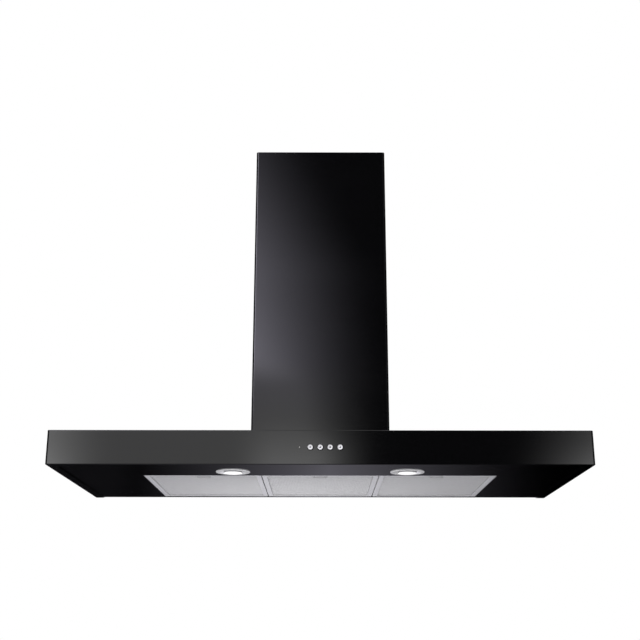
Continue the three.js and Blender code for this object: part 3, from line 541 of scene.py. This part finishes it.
def canopy_skin():
    """The canopy's folded sheet: front, sides, top and the rim returned below, with the blower's opening."""
    low, high = SHELL
    bm = bmesh.new()
    slab(bm, low, high)
    rear = [face for face in bm.faces if face.normal.y > 0.9]
    bmesh.ops.delete(bm, geom=rear, context="FACES")
    corners = [edge for edge in bm.edges if not edge.is_boundary and is_upright(edge)]
    round_off(bm, corners, BEND["corner"], 6)
    folds = [edge for edge in bm.edges if not edge.is_boundary and not is_upright(edge)]
    round_off(bm, folds, BEND["fold"], 4)
    bm.normal_update()
    rim_x = high.x - SIDE_RIM
    past_rear = high.y + 1.0  # no rim is left along the wall
    window(bm, lambda f: f.normal.z < -0.99, (-rim_x, rim_x), (low.y + FRONT_RIM, past_rear))
    near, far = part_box("blower_chamber")
    window(bm, lambda f: f.normal.z > 0.99, (near.x + INTAKE_EDGE["side"], far.x - INTAKE_EDGE["side"]),
           (near.y + INTAKE_EDGE["front"], far.y - INTAKE_EDGE["rear"]))
    piece = from_bmesh("canopy_skin", bm)
    thicken(piece, SHEET)
    carve(piece, button_cutter(BUTTONS, HOLE["button"]))
    carve(piece, button_cutter(["indicator_lens"], HOLE["indicator"]))
    return finish(piece, "hood", "enamel_black", ("canopy_shell",))


def underside():
    """The plate in the rim, its filter bay flanged upwards on three sides, with two lamp holes."""
    low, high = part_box("underside_panel")
    bay_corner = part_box("filter_frame_left")[0]
    bay_x = -bay_corner.x + BAY_GAP
    bay_front = bay_corner.y - BAY_GAP
    near = 1e-5
    bm = bmesh.new()
    corners = [(low.x, low.y), (low.x, high.y), (high.x, high.y), (high.x, low.y)]
    bm.faces.new([bm.verts.new((x, y, low.z)) for x, y in corners])
    bm.normal_update()
    window(bm, lambda f: True, (-bay_x, bay_x), (bay_front, BAY_REAR))
    flanged = []
    for edge in bm.edges:
        middle = (edge.verts[0].co + edge.verts[1].co) / 2
        in_bay = abs(middle.x) < bay_x + near and bay_front - near < middle.y < BAY_REAR - near
        if edge.is_boundary and in_bay:
            flanged.append(edge)
    made = bmesh.ops.extrude_edge_only(bm, edges=flanged)["geom"]
    raised = [part for part in made if isinstance(part, bmesh.types.BMVert)]
    bmesh.ops.translate(bm, verts=raised, vec=(0, 0, high.z - low.z))
    folds = [edge for edge in flanged if edge.is_valid]
    round_off(bm, folds, BEND["flange"], 4)
    bmesh.ops.recalc_face_normals(bm, faces=bm.faces)
    if next(f for f in bm.faces if abs(f.normal.z) > 0.9).normal.z > 0:
        bmesh.ops.reverse_faces(bm, faces=bm.faces)
    piece = from_bmesh("underside_plate", bm)
    thicken(piece, SHEET)
    cutters = bmesh.new()
    reach = 5 * MM
    drill = [(0, -reach), (HOLE["lamp"], -reach), (HOLE["lamp"], reach), (0, reach)]
    for side in SIDES:
        centre = middle_of(f"lamp_lens_{side}")
        turn(cutters, "z", (centre.x, centre.y, low.z), drill)
    carve(piece, from_bmesh("cutter", cutters))
    return finish(piece, "hood", "enamel_black", ("underside_panel",))


canopy_skin()
underside()
refine("rear_panel")


# ---- Controls ------------------------------------------------------------------------------------

def push_button(node):
    """A silver cap with a rounded rim and a dished face on its stem, and a steel eye sunk in its middle."""
    low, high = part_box(node)
    centre = ((low.x + high.x) / 2, low.y, (low.z + high.z) / 2)
    length = high.y - low.y
    radius = (high.x - low.x) / 2 - 0.4 * MM
    rim = 0.6 * MM
    dish = 0.2 * MM
    flat = 1.7 * MM
    well = {"radius": 2.0 * MM, "depth": 1.1 * MM, "chamfer": 0.25 * MM, "drop": 0.15 * MM}
    stem = 2.2 * MM
    cap = 6.8 * MM
    face = [(0, well["depth"]), (well["radius"], well["depth"]), (well["radius"], dish + well["drop"]),
            (well["radius"] + well["chamfer"], dish), (radius - flat, dish * 0.45)]
    edge = [(radius - rim + rim * math.sin(t), rim - rim * math.cos(t)) for t in quarter(5)]
    back = [(radius, cap), (stem, cap), (stem, length), (0, length)]
    bm = bmesh.new()
    turn(bm, "y", centre, [*face, *edge, *back], 64)
    finish(from_bmesh(f"{node}_cap", bm), BODY_OF[node], "button_silver", (node,))

    eye = well["radius"] * 0.96
    crown = [(0, 0.5 * MM), (well["radius"] * 0.7, 0.55 * MM), (eye, 0.8 * MM)]
    foot = 1.3 * MM
    bm = bmesh.new()
    turn(bm, "y", centre, [*crown, (eye, foot), (0, foot)], 32)
    finish(from_bmesh(f"{node}_eye", bm), BODY_OF[node], "bright_steel")


def indicator():
    """The round-nosed light pipe beside the buttons."""
    low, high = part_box("indicator_lens")
    centre = ((low.x + high.x) / 2, low.y, (low.z + high.z) / 2)
    length = high.y - low.y
    radius = (high.x - low.x) / 2
    rise = 0.9 * MM
    nose = [(radius * math.sin(t), rise * (1 - math.cos(t))) for t in quarter(8)]
    bm = bmesh.new()
    turn(bm, "y", centre, [*nose, (radius, length), (0, length)], 32)
    finish(from_bmesh("indicator_pipe", bm), "hood", "indicator_lens", ("indicator_lens",))


for button in BUTTONS:
    push_button(button)
indicator()
for node in ("switch_housing", "control_board", "control_cover"):
    refine(node, 0.4 * MM)


# ---- Grease filters ------------------------------------------------------------------------------

FRAME_THICK = 9 * MM
STRAND = {"half_width": 0.44 * MM, "half_thick": 0.18 * MM, "tilt": 0.26 * MM}
TAB = {"x": 80 * MM, "half": 14 * MM, "length": 12.5 * MM, "root": 1 * MM, "low": 1.5 * MM,
       "high": 2.5 * MM}
LATCH_SLOT = {"half": 8.6 * MM, "depth": 12 * MM, "low": 2.8 * MM, "high": 6 * MM}
LAYER = {"lower": 0.45 * MM, "core_low": 1.0 * MM, "core_high": 3.7 * MM, "upper": 4.2 * MM}  # heights


def rail_profile():
    """The frame's section: distance in from the outer edge, and height, as a closed outline."""
    outer, curl = 0.7 * MM, 1.1 * MM
    inner, groove, lip = 10.9 * MM, 10.2 * MM, 2.2 * MM
    lower = arc((outer, outer), outer, 180, 270, 4) + arc((inner - curl, curl), curl, -90, 0, 5)
    lower += [(inner, lip), (groove, lip)]
    upper = [(s, FRAME_THICK - z) for s, z in reversed(lower)]
    return lower + upper


def rail(bm, start, end, inward, level):
    """One mitred side of a filter frame, between two outer corners."""
    start, end, inward = Vector(start), Vector(end), Vector(inward)
    along = (end - start).normalized()
    kerf = 0.08 * MM
    profile = rail_profile()
    near, far = [], []
    for s, z in profile:
        offset = inward * s + Vector((0, 0, level + z))
        near.append(bm.verts.new(start + along * (s + kerf) + offset))
        far.append(bm.verts.new(end - along * (s + kerf) + offset))
    count = len(profile)
    for i in range(count):
        j = (i + 1) % count
        bm.faces.new((near[i], near[j], far[j], far[i]))
    bm.faces.new(near)
    bm.faces.new(list(reversed(far)))


def filter_frame(side):
    """Four mitred rails, and the two tabs that the filter swings on."""
    node = f"filter_frame_{side}"
    low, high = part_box(node)
    rear = high.y - TAB["length"]
    corners = [(low.x, low.y, 0), (high.x, low.y, 0), (high.x, rear, 0), (low.x, rear, 0)]
    inwards = [(0, 1, 0), (-1, 0, 0), (0, -1, 0), (1, 0, 0)]
    bm = bmesh.new()
    for i, inward in enumerate(inwards):
        rail(bm, corners[i], corners[(i + 1) % 4], inward, low.z)
    middle = (low.x + high.x) / 2
    for tab_x in (middle - TAB["x"], middle + TAB["x"]):
        slab(bm, (tab_x - TAB["half"], rear - TAB["root"], low.z + TAB["low"]),
             (tab_x + TAB["half"], high.y, low.z + TAB["high"]), 0.4 * MM)
    bmesh.ops.recalc_face_normals(bm, faces=bm.faces)
    cutter = bmesh.new()
    slab(cutter, (middle - LATCH_SLOT["half"], low.y - 1 * MM, low.z + LATCH_SLOT["low"]),
         (middle + LATCH_SLOT["half"], low.y + LATCH_SLOT["depth"], low.z + LATCH_SLOT["high"]))
    piece = from_bmesh(f"filter_rails_{side}", bm)
    carve(piece, from_bmesh("cutter", cutter))
    finish(piece, BODY_OF[node], "filter_aluminium", (node,))


def lattice(name, x_range, y_range, level, skip, side):
    """One layer of expanded mesh: zigzag strands that meet their neighbours at every other corner."""
    step_x = MESH_LONG / 2
    step_y = MESH_SHORT / 2
    swing = 0.86 * step_y / 2
    columns = int((x_range[1] - x_range[0]) / step_x)
    rows = int((y_range[1] - y_range[0]) / step_y)
    start_x = (x_range[0] + x_range[1] - columns * step_x) / 2
    start_y = (y_range[0] + y_range[1] - rows * step_y) / 2 + step_y / 2
    section = [(-STRAND["half_width"], STRAND["tilt"]), (0, -STRAND["half_thick"]),
               (STRAND["half_width"], -STRAND["tilt"]), (0, STRAND["half_thick"])]
    verts, faces = [], []
    for row in range(rows):
        before = False
        for column in range(columns + 1):
            x = start_x + column * step_x
            y = start_y + row * step_y + swing * (-1) ** (row + column)
            kept = not skip(x, y)
            if kept:
                verts += [(x, y + dy, level + dz) for dy, dz in section]
                if before:
                    a, b = len(verts) - 8, len(verts) - 4
                    faces += [(a + k, a + (k + 1) % 4, b + (k + 1) % 4, b + k) for k in range(4)]
            before = kept
    mesh = bpy.data.meshes.new(name)
    mesh.from_pydata(verts, [], faces)
    mesh.update()
    return finish(link(name, mesh), f"{side}_filter", "filter_mesh", sharp=30.0)


def filter_mesh(side):
    """Lattices below and above a core that stands for the layers between them."""
    node = f"filter_mesh_{side}"
    low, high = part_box(node)
    cup_low, cup_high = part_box(f"filter_latch_cup_{side}")
    margin = 0.7 * MM
    x_range = (low.x - margin, high.x + margin)
    y_range = (low.y - margin, high.y + margin)

    def in_cup(x, y):
        return cup_low.x - margin < x < cup_high.x + margin and y < cup_high.y + margin

    for layer in ("lower", "upper"):
        lattice(f"filter_lattice_{layer}_{side}", x_range, y_range, low.z + LAYER[layer], in_cup, side)
    bm = bmesh.new()
    slab(bm, (x_range[0], y_range[0], low.z + LAYER["core_low"]),
         (x_range[1], y_range[1], low.z + LAYER["core_high"]), 0.4 * MM)
    cutter = bmesh.new()
    slab(cutter, (cup_low.x - margin, low.y - 10 * MM, low.z - 1 * MM),
         (cup_high.x + margin, cup_high.y + margin, low.z + 9 * MM))
    piece = from_bmesh(f"filter_core_{side}", bm)
    carve(piece, from_bmesh("cutter", cutter))
    finish(piece, f"{side}_filter", "filter_mesh", (node,), "foil_layers")


for filter_side in FILTER_SIDES:
    filter_frame(filter_side)
    filter_mesh(filter_side)
    refine(f"filter_latch_cup_{filter_side}", 0.35 * MM, 3, "grey_plastic")
    refine(f"filter_latch_{filter_side}", 0.5 * MM, 3, "grey_plastic")


# ---- Lamps ---------------------------------------------------------------------------------------

def lamp_ring(side):
    """The bright trim ring: a flat land, and a dish up to the bore that the glass hangs in."""
    low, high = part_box(f"lamp_bezel_{side}")
    centre = ((low.x + high.x) / 2, (low.y + high.y) / 2, low.z)
    radius = (high.x - low.x) / 2
    height = high.z - low.z
    lip = 1.2 * MM
    bore = 20 * MM
    mouth = 29 * MM
    roll = 0.8 * MM
    dish = 3.2 * MM
    tube = 32 * MM
    outer = arc((radius - lip, lip), lip, 0, -90, 5)
    crest = arc((mouth, roll), roll, -90, -150, 4)
    profile = [(radius, lip), *outer[1:], *crest, (bore, dish), (bore, height), (tube, height), (tube, lip)]
    bm = bmesh.new()
    turn(bm, "z", centre, profile, 96, closed=True)
    finish(from_bmesh(f"lamp_ring_{side}", bm), "hood", "lamp_chrome", (f"lamp_bezel_{side}",))


def lamp_glass(side):
    """The cup: a frosted, crowned face with a round edge, and an unetched wall painted grey as painted shade,
    whose rim lies on the ring.
    """
    low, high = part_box(f"lamp_lens_{side}")
    centre = ((low.x + high.x) / 2, (low.y + high.y) / 2, low.z)
    rim = (high.x - low.x) / 2
    top = high.z - low.z
    thick = 2 * MM
    wall = 19.5 * MM
    edge = 1.0 * MM
    rise = 0.35 * MM
    inside = 2.2 * MM
    crown = [(wall * 0.9 * math.sin(t), rise * (1 - math.cos(t))) for t in quarter(8)]
    corner = arc((wall - edge, rise + edge), edge, -80, 0, 6)
    seam = (wall - thick, inside + edge)
    bm = bmesh.new()
    turn(bm, "z", centre, [*crown, *corner[:5], seam, (0, inside)], 96)
    finish(from_bmesh(f"lamp_glass_{side}", bm), "hood", "lamp_glass", (f"lamp_lens_{side}",))
    upper = [(wall, top - thick), (rim, top - thick), (rim, top), (wall - thick, top), seam]
    bm = bmesh.new()
    turn(bm, "z", centre, [*corner[4:], *upper], 96, closed=True)
    finish(from_bmesh(f"lamp_glass_wall_{side}", bm), "hood", "lamp_glass", (), "lamp_wall")


for lamp_side in SIDES:
    lamp_ring(lamp_side)
    lamp_glass(lamp_side)
    refine(f"lamp_reflector_{lamp_side}", 0)
    refine(f"lamp_bulb_{lamp_side}", 0.8 * MM, 3)
    refine(f"lamp_can_{lamp_side}", 0.3 * MM)
refine("lamp_transformer", 1.2 * MM, 3)


# ---- Blower, duct collar and terminal box --------------------------------------------------------

for node in ("blower_chamber", "scroll_shell_left", "scroll_shell_right", "motor_bracket", "outlet_collar",
             "damper_flap_front", "damper_flap_rear", "terminal_box", "terminal_box_cover", "cable_gland"):
    refine(node, 0.35 * MM)
for node in ("motor", "run_capacitor"):
    refine(node, 1.0 * MM, 3)
for node in ("impeller", "motor_shaft", "damper_spindle"):
    refine(node, 0)


SCREW_HEAD = {"chamber": 3.4 * MM, "collar": 3.6 * MM, "lid": 2.6 * MM, "side": 4 * MM}  # radii


def screw(bm, axis, seat, radius, direction=1):
    """A pan-head screw's head with a hexagon socket, standing out from its seat."""
    rise = 0.62 * radius * direction
    socket = 0.5 * radius
    floor_rise = rise * 0.3
    dome = [(radius * math.cos(t) ** 0.6, rise * math.sin(t)) for t in quarter(8)[1:6]]
    profile = [(0, 0.0), (radius, 0.0), *dome, (socket, rise * 0.98), (socket, floor_rise), (0, floor_rise)]
    count = len(profile)
    turn(bm, axis, seat, profile, 24, hex_from=count - 3, hex_to=count - 2)


def screw_set(name, axis, seats, radius):
    """Screws of one size on the hood, as one piece."""
    bm = bmesh.new()
    for seat in seats:
        screw(bm, axis, seat, radius)
    finish(from_bmesh(name, bm), "hood", "bright_steel")


def chamber_screws():
    """Sheet-metal screws along the four sides of the chamber's foot."""
    low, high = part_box("blower_chamber")
    foot = low.z + 1.0 * MM
    margin = {"side": 7 * MM, "front": 5 * MM, "rear": 7 * MM}
    seats = []
    for x in (low.x + margin["side"], high.x - margin["side"]):
        seats += [(x, low.y + (high.y - low.y) * part, foot) for part in (0.12, 0.5, 0.88)]
    for part in (0.2, 0.5, 0.8):
        x = low.x + (high.x - low.x) * part
        seats += [(x, y, foot) for y in (low.y + margin["front"], high.y - margin["rear"])]
    screw_set("chamber_screws", "z", seats, SCREW_HEAD["chamber"])


def collar_screws():
    """The four screws in the collar's foot."""
    low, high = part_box("outlet_collar")
    inset = 8 * MM
    foot = low.z + 3 * MM
    seats = [(x, y, foot) for x in (low.x + inset, high.x - inset) for y in (low.y + inset, high.y - inset)]
    screw_set("collar_screws", "z", seats, SCREW_HEAD["collar"])


def cover_screws():
    """The four screws that hold the terminal box's lid."""
    low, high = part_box("terminal_box_cover")
    inset = 5 * MM
    face = low.y + 2 * MM
    seats = [(x, face, z) for x in (low.x + inset, high.x - inset) for z in (low.z + inset, high.z - inset)]
    screw_set("cover_screws", "y", seats, SCREW_HEAD["lid"])


chamber_screws()
collar_screws()
cover_screws()


# ---- Chimney -------------------------------------------------------------------------------------

def chimney_cover(node, lip, radius, thickness):
    """A folded cover: a front, two sides and two returns along the wall."""
    low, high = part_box(node)
    small = 1.2 * MM
    half = high.x
    path = [(-half + lip, high.y)]
    path += arc((-half + small, high.y - small), small, 90, 180, 3)
    path += arc((-half + radius, low.y + radius), radius, 180, 270, 6)
    path += arc((half - radius, low.y + radius), radius, 270, 360, 6)
    path += arc((half - small, high.y - small), small, 0, 90, 3)
    path += [(half - lip, high.y)]
    bm = bmesh.new()
    levels = [[bm.verts.new((x, y, z)) for x, y in path] for z in (low.z, high.z)]
    for i in range(len(path) - 1):
        bm.faces.new((levels[0][i], levels[0][i + 1], levels[1][i + 1], levels[1][i]))
    piece = from_bmesh(f"{node}_folded", bm)
    thicken(piece, thickness)
    soften(piece, 0.2 * MM, angle=60.0)
    return finish(piece, BODY_OF[node], "enamel_black", (node,))


chimney_cover("chimney_lower_cover", lip=12 * MM, radius=5 * MM, thickness=1 * MM)
chimney_cover("chimney_upper_cover", lip=27 * MM, radius=3.2 * MM, thickness=1 * MM)
for node in ("chimney_top_bracket", "chimney_base_tab_left", "chimney_base_tab_right"):
    refine(node, 0.3 * MM)


def cover_screw(side, sign):
    """The head of one of the lower cover's side screws, which points away from the cover."""
    node = f"chimney_side_screw_{side}"
    low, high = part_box(node)
    middle = middle_of(node)
    head = 2.2 * MM
    seat = (low.x if sign < 0 else high.x) - sign * head
    bm = bmesh.new()
    screw(bm, "x", (seat, middle.y, middle.z), SCREW_HEAD["side"], sign)
    finish(from_bmesh(f"side_screw_head_{side}", bm), "hood", "bright_steel", (node,))


for screw_side, sign in SIDES.items():
    cover_screw(screw_side, sign)
    refine(f"bracket_screw_{screw_side}", 0.2 * MM)


# ---- Stage ---------------------------------------------------------------------------------------

FLOOR_Z = -3.6  # far below, because the hood hangs on a wall
FLOOR_RADIUS = 40.0


def floor_paint(graph):
    """A pale matt floor with a trace of unevenness."""
    cloud = graph.noise(graph.place(), 0.6, 4.0)
    return {"Base_Color": graph.blend(cloud, (0.86, 0.86, 0.86), (0.9, 0.9, 0.9)),
            "Roughness": graph.vary(cloud, 0.75, 0.9)}


def floor():
    """A wide round floor, far below the hood and kept out of its reflections."""
    bm = bmesh.new()
    turn(bm, "z", (0, 0, FLOOR_Z), [(0, 0), (FLOOR_RADIUS / 4, 0), (FLOOR_RADIUS, 0)], 64)
    if bm.faces[:][0].normal.z < 0:
        bmesh.ops.reverse_faces(bm, faces=bm.faces)
    plate = from_bmesh("floor", bm)
    plate.data.materials.append(surface("pale_floor", floor_paint))
    plate.visible_glossy = False


def tone(graph, value, gain):
    """A display tone from 0 to 255 as the light that shows it after a reflection of 1 / gain."""
    display_white = 255.0
    display_gamma = 2.2
    share = graph.math("DIVIDE", value, display_white)
    return graph.math("MULTIPLY", graph.math("POWER", share, display_gamma), gain)


def near_zero(graph, value, full, none, peak=1.0, least=0.0, smooth=False):
    """Peak where a value is within full of zero, falling to least where it is past none."""
    return graph.spread(graph.math("ABSOLUTE", value), full, none, peak, least, smooth=smooth)


def broad_light(graph, u, v):
    """The tones of the broad light in front, whose right edge leans over to the left as it goes up."""
    upright = graph.spread(v, 0.19, 0.21, 0.058, 0.065)
    leaning = graph.spread(v, 0.36, 0.5, 0.062, 0.0)
    edge = graph.math("MINIMUM", upright, leaning)
    slope = graph.spread(v, 0.175, 0.2, 1500.0, 900.0)
    slope = graph.math("ADD", slope, graph.spread(v, 0.2, 0.34, 0.0, -270.0))
    ramp = graph.math("MULTIPLY", slope, graph.math("MAXIMUM", graph.math("SUBTRACT", edge, u), 0.0))
    middle = near_zero(graph, graph.math("ADD", u, 0.025), 0.015, 0.065, smooth=True)
    glow = graph.math("MULTIPLY", middle, graph.spread(v, 0.165, 0.21, 26.0, 4.0))
    ceiling = graph.math("ADD", graph.spread(v, 0.245, 0.285, 62.0, 125.0), glow)
    tones = graph.math("SMOOTH_MIN", ramp, ceiling, 12.0)
    left_end = graph.spread(u, -0.45, -0.3, 0.0, 1.0, smooth=True)
    return graph.math("MULTIPLY", tones, left_end)


def narrow_lights(graph, u, v):
    """The tones of the narrow lights further out, one on each side, and of a bright strip at the left."""
    left = graph.math("MULTIPLY", graph.spread(u, -0.3, -0.2, 58.0, 0.0, smooth=True),
                      graph.spread(u, -0.5, -0.4, 0.0, 1.0, smooth=True))
    strip = graph.math("MULTIPLY", graph.spread(u, -0.34, -0.3, 90.0, 0.0, smooth=True),
                       graph.spread(u, -0.52, -0.48, 0.0, 1.0, smooth=True))
    strip = graph.math("MULTIPLY", strip, graph.spread(v, 0.2, 0.24, 0.0, 1.0, smooth=True))
    right = graph.math("MULTIPLY", graph.spread(u, 0.18, 0.275, 0.0, 84.0),
                       graph.spread(u, 0.3, 0.4, 1.0, 0.0))
    lower_part = graph.spread(v, 0.155, 0.19, 1.25, 0.75)
    return graph.math("MULTIPLY_ADD", graph.math("ADD", left, right), lower_part, strip)


def front_light(graph, u, v):
    """The lights in front of the hood, which all start a little above its own level."""
    gain = 19.0
    tones = graph.math("ADD", broad_light(graph, u, v), narrow_lights(graph, u, v))
    level = graph.spread(v, 0.09, 0.15, 0.0, 1.0, smooth=True)
    return graph.math("MULTIPLY", tone(graph, tones, gain), level)


def rear_light(graph, x, u, v):
    """The light behind the hood: a dim glow at every height, and a bright one well below the hood."""
    gain = 2.5
    glow = near_zero(graph, graph.math("SUBTRACT", u, 0.008), 0.0, 0.22, 82.0, 1.0)
    glow = graph.math("MAXIMUM", glow, graph.spread(u, -0.2, -0.1, 19.0, 0.0))
    low = graph.spread(v, -0.5, -0.24, 1.0, 0.0, smooth=True)
    return graph.math("MULTIPLY_ADD", low, under_light(graph, x), tone(graph, glow, gain))


def under_light(graph, x):
    """The light from below, which is brightest near the middle and fades to both sides."""
    return near_zero(graph, graph.math("ADD", x, 0.05), 0.0, 0.3, 0.6, 0.02, smooth=True)


def studio():
    """A white backdrop, and for everything but the camera a dark room with large soft lights.

    u and v are a direction's sideways and upward slope, as seen from the hood. The room's light is
    white, and a little violet at the rear and high up in front.
    """
    world = bpy.data.worlds.new("studio")
    world.use_nodes = True
    bpy.context.scene.world = world
    graph = Graph(world.node_tree)
    way = graph.add("ShaderNodeTexCoord").outputs["Generated"]
    x, y, z = graph.add("ShaderNodeSeparateXYZ", Vector=way).outputs[:3]
    least_depth = 0.01
    deep = graph.math("MAXIMUM", graph.math("ABSOLUTE", y), least_depth)
    u = graph.math("DIVIDE", x, deep)
    v = graph.math("DIVIDE", z, deep)
    is_front = graph.spread(y, -0.86, -0.8, 1.0, 0.0, smooth=True)
    is_rear = graph.spread(y, 0.3, 0.5, 0.0, 1.0, smooth=True)
    is_side = graph.spread(graph.math("ABSOLUTE", x), 0.5, 0.7, 0.0, 1.0, smooth=True)

    upper = graph.spread(z, 0.5, 0.9, 0.0, 0.9, smooth=True)
    is_below = graph.spread(z, -0.97, -0.85, 0.12, 0.0, smooth=True)
    lower = graph.math("MULTIPLY", is_below, under_light(graph, x))
    beside = graph.math("MULTIPLY", is_side, graph.spread(z, -0.5, 0.0, 0.4, 0.04, smooth=True))
    light = graph.math("ADD", graph.math("ADD", upper, lower), beside)
    light = graph.math("MULTIPLY_ADD", front_light(graph, u, v), is_front, light)
    light = graph.math("MULTIPLY_ADD", rear_light(graph, x, u, v), is_rear, light)

    seen = graph.add("ShaderNodeLightPath").outputs["Is Camera Ray"]
    white = (1.0, 1.0, 1.0)
    violet = (1.02, 0.985, 1.15)
    high = graph.math("MULTIPLY", is_front, graph.spread(v, 0.2, 0.27, 0.0, 1.0))
    colour = graph.blend(graph.math("MAXIMUM", high, is_rear), white, violet)
    room = graph.add("ShaderNodeBackground", Strength=light, Color=colour)
    backdrop = graph.add("ShaderNodeBackground", Strength=1.0, Color=(*white, 1.0))
    mixed = graph.add("ShaderNodeMixShader", Fac=seen)
    graph.feed(mixed.inputs[1], room.outputs[0])
    graph.feed(mixed.inputs[2], backdrop.outputs[0])
    graph.add("ShaderNodeOutputWorld", Surface=mixed.outputs[0])


LIGHTS = {
    "key": {"at": (-1.8, -2.6, 2.4), "aim": (0, -0.25, 0.2), "width": 1.6, "watts": 110},
    "under": {"at": (-0.06, -0.12, -0.48), "aim": (-0.06, -0.12, 0), "width": 0.25, "watts": 1.8},
    "front": {"at": (-0.6, -2.9, -0.16), "aim": (-0.1, -0.1, -0.14), "width": 0.4, "watts": 50},
    "rear": {"at": (1.3, 2.6, 1.1), "aim": (0, -0.1, 0.3), "width": 1.3, "watts": 30},
}


def area_light(name):
    """A square soft light, kept out of reflections, which belong to the room's own lights."""
    plan = LIGHTS[name]
    data = bpy.data.lights.new(name, "AREA")
    data.shape = "SQUARE"
    data.size = plan["width"]
    data.energy = plan["watts"]
    made = bpy.data.objects.new(name, data)
    made.location = plan["at"]
    way = Vector(plan["aim"]) - Vector(plan["at"])
    made.rotation_euler = way.to_track_quat("-Z", "Y").to_euler()
    made.visible_glossy = False
    made.visible_camera = False
    bpy.context.scene.collection.objects.link(made)


CAMERA = {"at": (0.0, -2.569, -0.3743), "upward": 17.225, "roll": -0.07, "lens": 58.55, "sensor": 36.0}


def camera():
    """Low in front of the hood and tilted up, so that the canopy's underside shows."""
    data = bpy.data.cameras.new("camera")
    data.lens = CAMERA["lens"]
    data.sensor_width = CAMERA["sensor"]
    data.clip_end = 5 * FLOOR_RADIUS
    made = bpy.data.objects.new("camera", data)
    made.location = CAMERA["at"]
    made.rotation_euler = (math.radians(90 + CAMERA["upward"]), math.radians(CAMERA["roll"]), 0.0)
    bpy.context.scene.collection.objects.link(made)
    bpy.context.scene.camera = made


floor()
studio()
for light_name in LIGHTS:
    area_light(light_name)
camera()
bpy.context.scene.view_settings.view_transform = "Standard"
